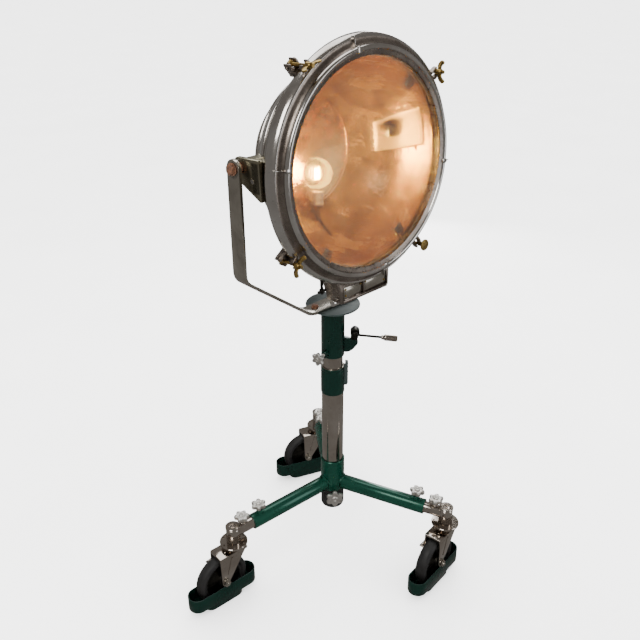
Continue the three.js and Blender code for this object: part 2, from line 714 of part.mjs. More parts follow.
function trunnionBolt(side) {
  const armOuter = yokeHalfWidth + yokeThickness / 2 + gap;
  const shank = rod(trunnionDiameter / 2, bracketOuter - 26, armOuter + 1, medium);
  const washer = rod(15, armOuter, armOuter + 3, medium);
  const head = rod(13, armOuter + 2, armOuter + trunnionHead, 6);
  const bolt = joined([shank, washer, head]).rotateY(Math.PI / 2);
  if (side < 0) bolt.rotateZ(Math.PI);
  return bolt.translate(0, 0, trunnionHeight);
}

columnGroup.add(yokeStrap());
columnGroup.add(named('yoke_bolt_left', yokeBolt(-1), rustyIron));
columnGroup.add(named('yoke_bolt_right', yokeBolt(1), rustyIron));
columnGroup.add(named('trunnion_bolt_left', trunnionBolt(-1), rustyIron));
columnGroup.add(named('trunnion_bolt_right', trunnionBolt(1), rustyIron));

// ---- lamp, in a frame with X to the right, Y down and Z back from the front of the glass ----
const lampGroup = new THREE.Group();
lampGroup.position.z = trunnionHeight;
lampGroup.rotation.x = -radians(lampTilt);
const optics = new THREE.Group();
optics.rotation.x = -Math.PI / 2;
optics.position.set(0, -trunnionDepth, -opticalDrop);
lampGroup.add(optics);


function shiftedLine(line, offset) {
  return line.map(([radius, depth], index) => {
    const before = line[Math.max(0, index - 1)];
    const after = line[Math.min(line.length - 1, index + 1)];
    const along = new THREE.Vector2(after[0] - before[0], after[1] - before[1]).normalize();
    return [radius - along.y * offset, depth + along.x * offset];
  });
}

function bezelRing() {
  const seat = glassRadius + gap;
  const back = glassThickness + gap;
  const profile = [
    [windowRadius, -2.5], [windowRadius + 12, -8], [windowRadius + 19, -10], [windowRadius + 25, -7],
    [windowRadius + 30, 4], [windowRadius + 41, 13], [bezelRadius, 27], [bezelRadius - 1, 36],
    [bezelRadius - 6, flangeFront - gap], [seat + 8, flangeFront - gap], [seat, back + 6],
    [seat, -gap], [windowRadius, -gap], [windowRadius, -2.5],
  ];
  const pieces = [turned(profile, fine)];
  const cuts = [];
  for (const angle of clampAngles) {
    const ear = block(24, 24, 11, clampRadius - 6, 0, 14).rotateZ(radians(angle));
    pieces.push(ear);
    const slot = block(24, clampBolt + 1.6, 60, clampRadius + 7, 0, 14).rotateZ(radians(angle));
    cuts.push(slot);
    cuts.push(block(20, 40, 60, clampRadius + 15, 0, 14).rotateZ(radians(angle)));
  }
  return named('bezel_ring', joined(pieces, cuts), castMetal);
}

function lensGlass() {
  return named('lens_glass', rod(glassRadius, 0, glassThickness, fine), clearGlass);
}

function drumBody() {
  const inner = shiftedLine(drumLine, drumWall);
  inner[0][1] = drumLine[0][1];
  inner[inner.length - 1][1] = drumDepth;
  const front = flangeFront + gap;
  const rim = flangeRadius;
  const profile = [
    [inner[0][0], front], [rim, front], [rim, front + flangeThick], [drumFront + 4, front + flangeThick + 4],
    ...drumLine.slice(1),
    ...inner.reverse().slice(0, -1), [inner[inner.length - 1][0], front],
  ];
  const pieces = [turned(profile, fine)];
  const cuts = [];
  for (const side of [-1, 1]) {
    pieces.push(trunnionBracket(side));
    const bore = rod(trunnionBore, 0, bracketOuter + 5, medium).rotateY(Math.PI / 2);
    if (side < 0) bore.rotateZ(Math.PI);
    cuts.push(bore.translate(0, -opticalDrop, trunnionDepth));
  }
  for (const angle of clampAngles) {
    const lugs = block(44, 26, 27, clampRadius - 13, 0, clampPivotDepth - 4).rotateZ(radians(angle));
    pieces.push(lugs);
    cuts.push(block(40, 13, 60, clampRadius + 7, 0, clampPivotDepth).rotateZ(radians(angle)));
  }
  const hollow = [[0, front - 1], [inner[inner.length - 1][0], front - 1], ...inner.slice().reverse()];
  cuts.push(turned([...hollow, [inner[0][0], drumDepth + 1], [0, drumDepth + 1]], fine));
  cuts.push(focusScrewHole(), latchHole());
  return named('drum_body', joined(pieces, cuts), castMetal);
}

/** Trapezoid side bracket between the drum and the yoke arm. */
function trunnionBracket(side) {
  const level = -opticalDrop;
  const shape = outline([
    [level - 22, trunnionDepth + 20], [level + 30, trunnionDepth + 20], [level + 72, 62], [level - 24, 62],
  ]);
  const thickness = 14;
  const acrossX = new THREE.Matrix4().makeBasis(
    new THREE.Vector3(0, 1, 0), new THREE.Vector3(0, 0, 1), new THREE.Vector3(1, 0, 0),
  );
  const plateStart = side > 0 ? bracketOuter - thickness : -bracketOuter;
  const plate = prism(shape, thickness).applyMatrix4(acrossX).translate(plateStart, 0, 0);
  const web = block(98, 30, 34, side * (bracketOuter - 57), level, trunnionDepth);
  const foot = block(54, bracketFoot, 26, side * (bracketOuter - 27), level + 18, 76);
  return joined([plate, web, foot]);
}

function rearCover() {
  const lip = rearRadius + rearLip - 4;
  const back = drumDepth + gap;
  const profile = [[0, back + domeRise], [0, back + domeRise - 3]];
  const steps = 4;
  const innerArc = [];
  const outerArc = [];
  for (let i = 1; i <= steps; i += 1) {
    const t = (i / steps) * (Math.PI / 2);
    innerArc.push([(rearRadius - 3) * Math.sin(t), back + (domeRise - 3) * Math.cos(t)]);
    outerArc.unshift([rearRadius * Math.sin(t), back + 5 + (domeRise - 5) * Math.cos(t)]);
  }
  profile.push(...innerArc, [lip, back], [lip, back + 5], ...outerArc, profile[0]);
  return named('rear_cover', turned([...profile].reverse(), fine), castMetal);
}

/** Inner [radius, depth] line of the reflector, front to back. */
function reflectorLine() {
  const line = shiftedLine(drumLine, drumWall + reflectorGap).filter(([, depth]) => depth < mirrorDepth - 18);
  return [[windowRadius - 3, glassThickness + 12], ...line.slice(1), [mirrorRadius, mirrorDepth - 14]];
}

function reflector() {
  const inner = reflectorLine();
  const outer = shiftedLine(inner, -reflectorWall);
  outer[0][1] = inner[0][1];
  const lip = [windowRadius + 6, inner[0][1]];
  const lipBack = [windowRadius + 6, inner[0][1] + reflectorWall];
  const profile = [...inner, ...outer.slice(1).reverse(), lipBack, lip, inner[0]];
  const slot = block(10, 90, 60, 0, windowRadius - 45, 178);
  return named('reflector', joined([turned(profile.reverse(), fine)], [slot]), mirrorMetal);
}

function backMirror() {
  const radius = mirrorRadius - 1;
  const thickness = 2;
  const edge = mirrorDepth - 14;
  const steps = 4;
  const front = [];
  const rear = [];
  for (let i = 0; i <= steps; i += 1) {
    const r = (radius * i) / steps;
    const depth = edge + mirrorSag * (1 - (r / radius) ** 2);
    front.push([r, depth]);
    rear.unshift([r, depth + thickness]);
  }
  return named('back_mirror', turned([...front, ...rear].reverse(), round), mirrorMetal);
}

// pieces round the bulb stand upright, so they are built along +Z and stood up
function upright(name, geometry, material) {
  const mesh = named(name, geometry.rotateX(Math.PI / 2), material);
  mesh.position.set(0, bulbDrop, bulbDepth);
  return mesh;
}

function bulbGlass() {
  const wall = 1.2;
  const steps = 6;
  const outer = [];
  const inner = [];
  const neckAngle = Math.asin(neckRadius / bulbRadius);
  for (let i = 0; i <= steps; i += 1) {
    const t = neckAngle + ((Math.PI - neckAngle) * i) / steps;
    outer.push([bulbRadius * Math.sin(t), -bulbRadius * Math.cos(t)]);
    inner.unshift([(bulbRadius - wall) * Math.sin(t), -(bulbRadius - wall) * Math.cos(t)]);
  }
  const bottom = holderTop + gap;
  outer[steps][0] = 0;
  inner[0][0] = 0;
  const profile = [[neckRadius - wall, bottom], [neckRadius, bottom], ...outer, ...inner];
  return turned([...profile, profile[0]], medium);
}

function lampholder() {
  const radius = holderDiameter / 2;
  const bottom = holderTop - holderHeight;
  const profile = [[0, bottom], [radius, bottom], [radius, holderTop - 8], [radius + 2, holderTop - 7]];
  profile.push([radius + 2, holderTop], [5, holderTop], [5, holderTop - 6], [0, holderTop - 6]);
  return joined([turned(profile, medium)], [block(9, 9, 12, 0, 0, bottom)]);
}

/** Filament frame: two supports and a grid of bars, rising from the holder's socket. */
function filament() {
  const half = 8;
  const low = -14;
  const high = 12;
  const pieces = [rod(4, holderTop - 6 + gap, holderTop + 8, 10)];
  for (const side of [-1, 1]) {
    pieces.push(block(1.4, 1.4, high - holderTop - 4, side * half, 0, (high + holderTop + 4) / 2));
  }
  pieces.push(block(2 * half, 2, 2, 0, 0, holderTop + 6));
  const bars = 4;
  for (let i = 0; i < bars; i += 1) {
    pieces.push(block(2 * half, 1.6, 1.6, 0, 0, low + ((high - low) * i) / (bars - 1) - 0.5));
  }
  return joined(pieces);
}

function lampLeads() {
  const top = holderTop - holderHeight + 5;
  const end = bulbDrop + leadsInset - windowRadius;
  const points = [[0, 0, top], [0, -1, top - 12], [-3, -5, top - 30], [0, -4, top - 44], [0, 0, end]];
  return swept(points.map((p) => new THREE.Vector3(...p)), 2.6, 4, 14);
}

function lowerCasting() {
  const half = castingWidth / 2;
  const top = windowRadius + castingTop;
  const shape = outline([
    [-half - 30, top], [-half, castingBottom], [half, castingBottom], [half + 8, top],
  ]);
  const front = flangeFront - 6;
  const depth = castingDepth;
  const pieces = [prism(shape, depth).translate(0, 0, front)];
  const rodLength = castingWidth + 22;
  const hingeRod = rod(9, -rodLength / 2, rodLength / 2, medium).rotateY(Math.PI / 2);
  pieces.push(hingeRod.translate(-2, castingBottom - 5, front + 14));
  const clear = turned([
    [0, 0], [bezelRadius + 1.5, 0], [bezelRadius + 1.5, flangeFront + 6], [flangeRadius + gap, flangeFront + 6],
    [flangeRadius + gap, flangeBack + gap], [drumFront + 5, flangeBack + 5], [drumLine[1][0] + 1, flangeBack + 16],
    [drumLine[2][0] + 1, 92], [0, 100],
  ], fine);
  const recess = block(castingWidth - 24, 70, 30, 0, castingBottom - 42, front + depth);
  return named('lower_casting', joined(pieces, [clear, recess]), castMetal);
}

/** Swing clamp: a bolt with a pivot eye behind the flange and a wing nut in front of the ring. */
function swingClamp() {
  const eye = rod(8, -6, 6, small).rotateX(Math.PI / 2).translate(0, 0, clampPivotDepth);
  const shank = rod(clampBolt / 2, -14, clampPivotDepth, small);
  const collarPiece = rod(8, -6, 7.5, small);
  const pieces = [eye, shank, collarPiece];
  for (const side of [-1, 1]) {
    const wing = new THREE.Shape();
    wing.moveTo(0, -5);
    wing.lineTo(10, -6);
    wing.bezierCurveTo(20, -2, 24, 6, 20, 13);
    wing.bezierCurveTo(16, 16, 12, 10, 8, 5);
    wing.lineTo(0, 4);
    wing.closePath();
    const leaf = prism(wing, 4, 3).translate(0, 0, -2).rotateX(-Math.PI / 2);
    if (side < 0) leaf.rotateZ(Math.PI);
    pieces.push(leaf.rotateZ(Math.PI / 2).translate(0, 0, -1));
  }
  return joined(pieces);
}

function focusScrewHole() {
  const hole = rod(4 + gap, -30, 30, small).rotateX(Math.PI / 2);
  return hole.translate(screwX, screwY, flangeFront + 9);
}

function focusScrew() {
  const stem = rod(4, -48, 0, small).rotateX(Math.PI / 2);
  const wings = prism(outline([[-14, 46], [14, 46], [11, 39], [-11, 39]]), 5).translate(0, 0, -2.5);
  const tip = rod(6, -51, -38, small).rotateX(Math.PI / 2);
  return joined([stem, wings, tip]).translate(screwX, screwY - 6, flangeFront + 9);
}

function latchHole() {
  const hole = rod(4 + gap, 0, 60, small);
  return hole.translate(latchX, latchY, 0);
}

function latchKnob() {
  const stem = rod(4, flangeFront + 6, 74, small);
  const head = rod(14, 66, 74, medium);
  return joined([stem, head]).translate(latchX, latchY, 0);
}

optics.add(bezelRing(), lensGlass(), drumBody(), rearCover(), reflector(), backMirror(), lowerCasting());
optics.add(upright('bulb_glass', bulbGlass(), clearGlass));
optics.add(upright('lampholder', lampholder(), ceramic));
optics.add(upright('filament', filament(), glowing));
optics.add(upright('lamp_leads', lampLeads(), leadCover));
clampAngles.forEach((angle, index) => {
  const turn = turnedGroup(optics, angle);
  const clamp = named(`swing_clamp_${index + 1}`, swingClamp(), brass);
  clamp.position.set(clampRadius, 0, 0);
  turn.add(clamp);
});
optics.add(named('focus_screw', focusScrew(), darkIron));
optics.add(named('rim_latch_knob', latchKnob(), brass));

// ---- whole object, set down with the middle of its footprint on the origin ----
const searchlight = new THREE.Group();
searchlight.add(standGroup, columnGroup, lampGroup);
searchlight.updateMatrixWorld(true);
const extent = new THREE.Box3().setFromObject(searchlight, true);
const middle = extent.getCenter(new THREE.Vector3());
searchlight.position.set(-middle.x, -middle.y, -extent.min.z);

export default searchlight;
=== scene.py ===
import json
import math

import bmesh
import bpy
from mathutils import Matrix, Vector


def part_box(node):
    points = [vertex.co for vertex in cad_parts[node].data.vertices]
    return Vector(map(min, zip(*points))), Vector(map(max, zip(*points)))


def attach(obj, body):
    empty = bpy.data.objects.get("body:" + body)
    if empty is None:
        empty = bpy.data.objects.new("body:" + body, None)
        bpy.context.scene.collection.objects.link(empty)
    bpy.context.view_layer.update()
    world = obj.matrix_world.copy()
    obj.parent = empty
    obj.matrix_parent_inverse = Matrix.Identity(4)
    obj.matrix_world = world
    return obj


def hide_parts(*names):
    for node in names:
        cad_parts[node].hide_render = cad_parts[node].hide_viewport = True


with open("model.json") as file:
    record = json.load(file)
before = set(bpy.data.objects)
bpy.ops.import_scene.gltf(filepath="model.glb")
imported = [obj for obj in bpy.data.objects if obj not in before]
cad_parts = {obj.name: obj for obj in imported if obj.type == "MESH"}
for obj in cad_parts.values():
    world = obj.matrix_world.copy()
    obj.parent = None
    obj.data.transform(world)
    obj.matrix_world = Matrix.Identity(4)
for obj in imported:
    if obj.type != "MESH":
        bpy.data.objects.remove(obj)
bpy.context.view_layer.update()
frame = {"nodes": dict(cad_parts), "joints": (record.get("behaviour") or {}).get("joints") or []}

mm = 0.001
scene = bpy.context.scene
joints = {joint["name"]: joint for joint in frame["joints"]}
print("frame loaded:", len(frame["nodes"]), "nodes")


def jointPlace(name):
    return Vector(joints[name]["pos_m"])


def jointAxis(name):
    return Vector(joints[name]["axis"]).normalized()


def placeOn(origin, zAxis, xHint=(1, 0, 0)):
    z = Vector(zAxis).normalized()
    x = Vector(xHint) - z * Vector(xHint).dot(z)
    if x.length < 1e-4:
        x = Vector((0, 1, 0)) - z * z.y
    x.normalize()
    y = z.cross(x)
    turn = Matrix((x, y, z)).transposed().to_4x4()
    return Matrix.Translation(origin) @ turn


columnPlace = Vector((jointPlace("lamp_pan").x, jointPlace("lamp_pan").y, 0))
column = Matrix.Translation(columnPlace)

# Camera
view = {"lens": 43.6, "heading": 47.1, "pitch": -27.45, "roll": -0.35, "place": (-1.322, -1.3705, 1.783)}


def addCamera():
    data = bpy.data.cameras.new("viewCamera")
    camera = bpy.data.objects.new("viewCamera", data)
    data.lens = view["lens"]
    data.sensor_width = 36
    scene.collection.objects.link(camera)
    heading, pitch = math.radians(view["heading"]), math.radians(view["pitch"])
    aim = Vector((math.cos(heading) * math.cos(pitch), math.sin(heading) * math.cos(pitch),
                  math.sin(pitch)))
    turn = aim.to_track_quat("-Z", "Y") @ Matrix.Rotation(math.radians(view["roll"]), 4,
                            "Z").to_quaternion()
    camera.location = columnPlace + Vector(view["place"])
    camera.rotation_mode = "QUATERNION"
    camera.rotation_quaternion = turn
    scene.camera = camera


addCamera()
print("camera placed; no free cord on this object")

# Materials


def newMaterial(name):
    material = bpy.data.materials.new(name)
    material.use_nodes = True
    tree = material.node_tree
    shader = tree.nodes["Principled BSDF"]
    coordinates = tree.nodes.new("ShaderNodeTexCoord")
    return material, tree, shader, coordinates.outputs["Object"]


def noiseNode(tree, source, scale, detail=4.0, roughness=0.55, distortion=0.0):
    node = tree.nodes.new("ShaderNodeTexNoise")
    node.inputs["Scale"].default_value = scale
    node.inputs["Detail"].default_value = detail
    node.inputs["Roughness"].default_value = roughness
    node.inputs["Distortion"].default_value = distortion
    tree.links.new(source, node.inputs["Vector"])
    return node.outputs["Fac"]


def rampNode(tree, source, stops):
    node = tree.nodes.new("ShaderNodeValToRGB")
    band = node.color_ramp
    while len(band.elements) < len(stops):
        band.elements.new(0.5)
    for element, (position, colour) in zip(band.elements, stops):
        element.position = position
        element.color = (*colour, 1)
    tree.links.new(source, node.inputs["Fac"])
    return node.outputs["Color"]


def rangeNode(tree, source, low, high, fromLow=0.3, fromHigh=0.7):
    node = tree.nodes.new("ShaderNodeMapRange")
    node.inputs["From Min"].default_value = fromLow
    node.inputs["From Max"].default_value = fromHigh
    node.inputs["To Min"].default_value = low
    node.inputs["To Max"].default_value = high
    tree.links.new(source, node.inputs["Value"])
    return node.outputs["Result"]


def mixNode(tree, amount, first, second):
    node = tree.nodes.new("ShaderNodeMix")
    node.data_type = "RGBA"
    tree.links.new(amount, node.inputs["Factor"])
    for index, value in ((6, first), (7, second)):
        if isinstance(value, tuple):
            node.inputs[index].default_value = (*value, 1)
        else:
            tree.links.new(value, node.inputs[index])
    return node.outputs[2]


def bumpNode(tree, shader, source, strength, distance):
    node = tree.nodes.new("ShaderNodeBump")
    node.inputs["Strength"].default_value = strength
    node.inputs["Distance"].default_value = distance
    tree.links.new(source, node.inputs["Height"])
    tree.links.new(node.outputs["Normal"], shader.inputs["Normal"])


# Metal with slow patches of tarnish, fine handling marks and a little unevenness.
def metalFinish(name, light, dark, rough, patches=9.0, wear=140.0, bump=0.12):
    material, tree, shader, source = newMaterial(name)
    shader.inputs["Metallic"].default_value = 1.0
    slow = noiseNode(tree, source, patches, 6.0, 0.62, 0.4)
    fineMarks = noiseNode(tree, source, wear, 5.0, 0.7)
    tint = rampNode(tree, slow, [(0.35, dark), (0.66, light)])
    spots = rangeNode(tree, fineMarks, 0.0, 1.0, 0.6, 0.75)
    tree.links.new(mixNode(tree, spots, tint, tuple(0.55 * c for c in light)), shader.inputs["Base Color"])
    tree.links.new(rangeNode(tree, fineMarks, rough[0], rough[1]), shader.inputs["Roughness"])
    bumpNode(tree, shader, noiseNode(tree, source, wear * 0.5, 6.0, 0.6), bump, 0.0006)
    return material


def enamelFinish(name, light, dark):
    material, tree, shader, source = newMaterial(name)
    slow = noiseNode(tree, source, 5.0, 3.0, 0.5)
    chips = noiseNode(tree, source, 95.0, 8.0, 0.75)
    tint = rampNode(tree, slow, [(0.3, dark), (0.7, light)])
    worn = rangeNode(tree, chips, 0.0, 1.0, 0.74, 0.77)
    tree.links.new(mixNode(tree, worn, tint, (0.08, 0.10, 0.085)), shader.inputs["Base Color"])
    tree.links.new(rangeNode(tree, slow, 0.2, 0.36), shader.inputs["Roughness"])
    shader.inputs["Metallic"].default_value = 0.75
    shader.inputs["Coat Weight"].default_value = 0.35
    shader.inputs["Coat Roughness"].default_value = 0.12
    bumpNode(tree, shader, noiseNode(tree, source, 260.0, 3.0, 0.5), 0.08, 0.0004)
    return material


def plainFinish(name, first, second, rough, scale=60.0, metallic=0.0, bump=0.1, stops=(0.35, 0.7),
                roughness=0.6, detail=5.0, fine=None, fineDetail=4.0, fineRoughness=0.55, depth=0.0004):
    material, tree, shader, source = newMaterial(name)
    slow = noiseNode(tree, source, scale, detail, roughness)
    tint = rampNode(tree, slow, [(stops[0], first), (stops[1], second)])
    tree.links.new(tint, shader.inputs["Base Color"])
    tree.links.new(rangeNode(tree, slow, *rough), shader.inputs["Roughness"])
    shader.inputs["Metallic"].default_value = metallic
    grain = noiseNode(tree, source, fine or scale * 4, fineDetail, fineRoughness)
    bumpNode(tree, shader, grain, bump, depth)
    return material


def rustFinish():
    material, tree, shader, source = newMaterial("rustySteel")
    slow = noiseNode(tree, source, 180.0, 8.0, 0.7)
    tint = rampNode(tree, slow, [(0.35, (0.030, 0.017, 0.012)), (0.55, (0.115, 0.045, 0.020)),
                            (0.75, (0.22, 0.12, 0.07))])
    tree.links.new(tint, shader.inputs["Base Color"])
    tree.links.new(rangeNode(tree, slow, 0.45, 0.85), shader.inputs["Roughness"])
    shader.inputs["Metallic"].default_value = 0.5
    bumpNode(tree, shader, slow, 0.5, 0.0006)
    return material


# Hand-polished sheet: clouded tint, hazy in places, slightly uneven. The orange of the tints given to the
# bowl, mirror and wall plate is painted bulb light on silver metal.
def reflectorFinish(name, light, dark, rough, bump):
    material, tree, shader, source = newMaterial(name)
    shader.inputs["Metallic"].default_value = 1.0
    slow = noiseNode(tree, source, 7.0, 7.0, 0.62, 0.3)
    tint = rampNode(tree, slow, [(0.25, dark), (0.75, light)])
    tree.links.new(tint, shader.inputs["Base Color"])
    cloud = noiseNode(tree, source, 18.0, 8.0, 0.68, 0.3)
    tree.links.new(rangeNode(tree, cloud, rough[0], rough[1]), shader.inputs["Roughness"])
    bumpNode(tree, shader, noiseNode(tree, source, 22.0, 5.0, 0.55), bump, 0.0012)
    return material


# Thin clear glass: alpha is how much it mirrors, low face on and high at grazing angles.
def glassFinish(name, tint, facing, edge):
    material, tree, shader, source = newMaterial(name)
    shader.inputs["Metallic"].default_value = 1.0
    shader.inputs["Roughness"].default_value = 0.04
    smears = noiseNode(tree, source, 16.0, 5.0, 0.6)
    tree.links.new(rampNode(tree, smears, [(0.3, tint), (0.8, tuple(0.85 * c for c in tint))]),
                   shader.inputs["Base Color"])
    weight = tree.nodes.new("ShaderNodeLayerWeight")
    weight.inputs["Blend"].default_value = 0.35
    sheen = rangeNode(tree, weight.outputs["Fresnel"], facing, edge, 0.0, 1.0)
    tree.links.new(sheen, shader.inputs["Alpha"])
    return material


def glowFinish():
    material, tree, shader, source = newMaterial("filamentGlow")
    flicker = noiseNode(tree, source, 300.0, 2.0)
    tree.links.new(rampNode(tree, flicker, [(0.3, (1.0, 0.50, 0.14)), (0.7, (1.0, 0.62, 0.24))]),
                   shader.inputs["Emission Color"])
    shader.inputs["Emission Strength"].default_value = 420.0
    shader.inputs["Base Color"].default_value = (0.9, 0.6, 0.3, 1)
    return material


enamel = enamelFinish("greenEnamel", (0.004, 0.056, 0.034), (0.002, 0.034, 0.021))
# A darker copy of the green enamel: painted shade for the head tube, collar and floor cups.
enamelPaintedShade = enamelFinish("greenEnamelPaintedShade", (0.002, 0.024, 0.016), (0.001, 0.013, 0.009))
rubber = plainFinish("blackRubber", (0.002, 0.002, 0.002), (0.007, 0.006, 0.0055), (0.42, 0.7), 26.0, 0.0,
                     0.25, (0.35, 0.75), 0.65, 6.0, 420.0, 4.0, 0.6, 0.0005)
tableGrey = plainFinish("tableGrey", (0.014, 0.021, 0.020), (0.026, 0.038, 0.036), (0.28, 0.5), 22.0, 0.45,
                        0.1, (0.3, 0.7), 0.6, 6.0, 300.0, 3.0)
rustySteel = rustFinish()
chrome = metalFinish("chromePlate", (0.60, 0.55, 0.50), (0.40, 0.35, 0.30), (0.06, 0.16), 6.0, 120.0, 0.05)
nickel = metalFinish("agedNickel", (0.56, 0.53, 0.47), (0.36, 0.33, 0.28), (0.15, 0.27), 9.0, 160.0, 0.05)
polished = metalFinish("polishedCasting", (0.66, 0.64, 0.61), (0.42, 0.385, 0.35), (0.10, 0.22), 5.0,
                       110.0, 0.05)
roughCast = metalFinish("roughCasting", (0.34, 0.295, 0.255), (0.17, 0.14, 0.12), (0.2, 0.4), 14.0, 90.0,
                        0.22)
# Bracket metal: its own colour on the trunnion brackets, painted shade where it darkens the bowl tabs.
bracketMetalAndTabShade = metalFinish("bracketMetalAndTabShade", (0.42, 0.39, 0.29), (0.26, 0.24, 0.17), (0.22, 0.4), 20.0,
                        120.0, 0.25)
knobMetal = metalFinish("knobCasting", (0.86, 0.84, 0.80), (0.62, 0.60, 0.56), (0.34, 0.52), 40.0, 200.0,
                        0.4)
brass = metalFinish("agedBrass", (0.58, 0.40, 0.13), (0.22, 0.15, 0.06), (0.2, 0.42), 60.0, 200.0, 0.25)
darkIron = metalFinish("darkIron", (0.050, 0.047, 0.040), (0.016, 0.015, 0.013), (0.3, 0.55), 50.0, 220.0,
                       0.3)
# The orange tints of the bowl, mirror and wall plate are painted glow of the bulb's light; the metal itself
# is silver.
bowlMetalPaintedGlow = reflectorFinish("reflectorMetalPaintedGlow", (0.88, 0.60, 0.28), (0.68, 0.42, 0.18), (0.16, 0.32), 0.12)
mirrorMetalPaintedGlow = reflectorFinish("mirrorMetalPaintedGlow", (0.95, 0.62, 0.24), (0.84, 0.48, 0.14), (0.16, 0.38), 0.06)
plateMetalPaintedGlow = reflectorFinish("wallPlateMetalPaintedGlow", (0.92, 0.74, 0.46), (0.72, 0.52, 0.30), (0.30, 0.50), 0.2)
lensGlass = glassFinish("lensGlass", (0.96, 0.95, 0.92), 0.035, 0.8)
# The orange tint of the bulb glass is painted glow of the filament's light; the glass itself is clear.
bulbGlassPaintedGlow = glassFinish("bulbGlass", (1.0, 0.74, 0.40), 0.03, 0.7)
glow = glowFinish()
ceramic = plainFinish("glazedCeramic", (0.30, 0.24, 0.17), (0.42, 0.35, 0.27), (0.28, 0.4375))
yellowLead = plainFinish("yellowLead", (0.10, 0.06, 0.012), (0.16, 0.10, 0.02), (0.48, 0.75), 300.0)
brownLead = plainFinish("brownLead", (0.014, 0.006, 0.003), (0.024, 0.012, 0.006), (0.52, 0.8125), 300.0)
# Near-black stand-in for the shade inside openings: painted shade in the cover vents and bracket holes.
paintedHoleShade = plainFinish("paintedRecessShade", (0.008, 0.007, 0.006), (0.02, 0.016, 0.012), (0.72, 1.125))
print("materials made:", len(bpy.data.materials))

# Mesh tools: each adds one closed solid to a bmesh; sizes in millimetres


# Turns [radius, height] points about Z. A profile starts and ends on the axis, or on its first point.
def addTurned(bm, profile, place=Matrix(), segments=72):
    closed = profile[0] == profile[-1]
    points = profile[:-1] if closed else profile
    area = sum(a[0] * b[1] - b[0] * a[1] for a, b in zip(points, points[1:] + points[:1]))
    if area < 0:
        points = points[::-1]
    rings = []
    for radius, height in points:
        count = segments if radius > 1e-6 else 1
        ring = []
        for index in range(count):
            angle = 2 * math.pi * index / segments
            spot = Vector((radius * math.cos(angle), radius * math.sin(angle), height)) * mm
            ring.append(bm.verts.new(place @ spot))
        rings.append(ring)
    pairs = list(zip(rings, rings[1:])) + ([(rings[-1], rings[0])] if closed else [])
    for low, high in pairs:
        if len(low) == 1 and len(high) == 1:
            continue
        for index in range(segments):
            after = (index + 1) % segments
            corners = [low[index % len(low)], low[after % len(low)], high[after % len(high)],
                       high[index % len(high)]]
            corners = [corner for step, corner in enumerate(corners) if corner not in corners[:step]]
            bm.faces.new(corners)


def addRod(bm, radius, bottom, top, place=Matrix(), segments=40):
    addTurned(bm, [(0, bottom), (radius, bottom), (radius, top), (0, top)], place, segments)


def addPipe(bm, outer, inner, bottom, top, place=Matrix(), segments=72):
    addTurned(bm, [(inner, bottom), (outer, bottom), (outer, top), (inner, top), (inner, bottom)], place,
              segments)


# Extrudes an anticlockwise outline of [x, y] points from z = low to z = high.
def addPrism(bm, outline, low, high, place=Matrix()):
    area = sum(a[0] * b[1] - b[0] * a[1] for a, b in zip(outline, outline[1:] + outline[:1]))
    if area < 0:
        outline = outline[::-1]
    bottom = [bm.verts.new(place @ (Vector((x, y, low)) * mm)) for x, y in outline]
    top = [bm.verts.new(place @ (Vector((x, y, high)) * mm)) for x, y in outline]
    bm.faces.new(bottom[::-1])
    bm.faces.new(top)
    for index in range(len(outline)):
        after = (index + 1) % len(outline)
        bm.faces.new([bottom[index], bottom[after], top[after], top[index]])


def addBlock(bm, size, centre, place=Matrix()):
    x, y, z = size
    outline = [(-x / 2, -y / 2), (x / 2, -y / 2), (x / 2, y / 2), (-x / 2, y / 2)]
    addPrism(bm, outline, -z / 2, z / 2, place @ Matrix.Translation(Vector(centre) * mm))


def addHexagon(bm, radius, bottom, top, place=Matrix()):
    outline = [(radius * math.cos(math.pi * k / 3), radius * math.sin(math.pi * k / 3)) for k in range(6)]
    addPrism(bm, outline, bottom, top, place)


# A round bar along points, in metres, with its ends closed.
def addSwept(bm, points, radius, sides=14, closed=False):
    count = len(points)
    rings = []
    side = None
    for index, point in enumerate(points):
        before = points[index - 1] if index or closed else point
        after = points[(index + 1) % count] if index < count - 1 or closed else point
        along = (after - before).normalized()
        if side is None:
            side = along.orthogonal().normalized()
        side = (side - along * side.dot(along)).normalized()
        up = along.cross(side)
        ring = []
        for step in range(sides):
            angle = 2 * math.pi * step / sides
            ring.append(bm.verts.new(point + (side * math.cos(angle) + up * math.sin(angle)) * radius * mm))
        rings.append(ring)
    pairs = list(zip(rings, rings[1:])) + ([(rings[-1], rings[0])] if closed else [])
    for low, high in pairs:
        for step in range(sides):
            after = (step + 1) % sides
            bm.faces.new([low[step], low[after], high[after], high[step]])
    if not closed:
        bm.faces.new(rings[0][::-1])
        bm.faces.new(rings[-1])


# Points on a smooth curve through corners.
def curvePoints(corners, steps=8):
    points = []
    padded = [corners[0]] + corners + [corners[-1]]
    for a, b, c, d in zip(padded, padded[1:], padded[2:], padded[3:]):
        for step in range(steps):
            t = step / steps
            points.append(0.5 * (2 * b + (c - a) * t + (2 * a - 5 * b + 4 * c - d) * t * t
                                 + (3 * b - a - 3 * c + d) * t * t * t))
    points.append(corners[-1])
    return points


def smoothLine(corners, steps=5):
    return [(p.x, p.y) for p in curvePoints([Vector(corner) for corner in corners], steps)]


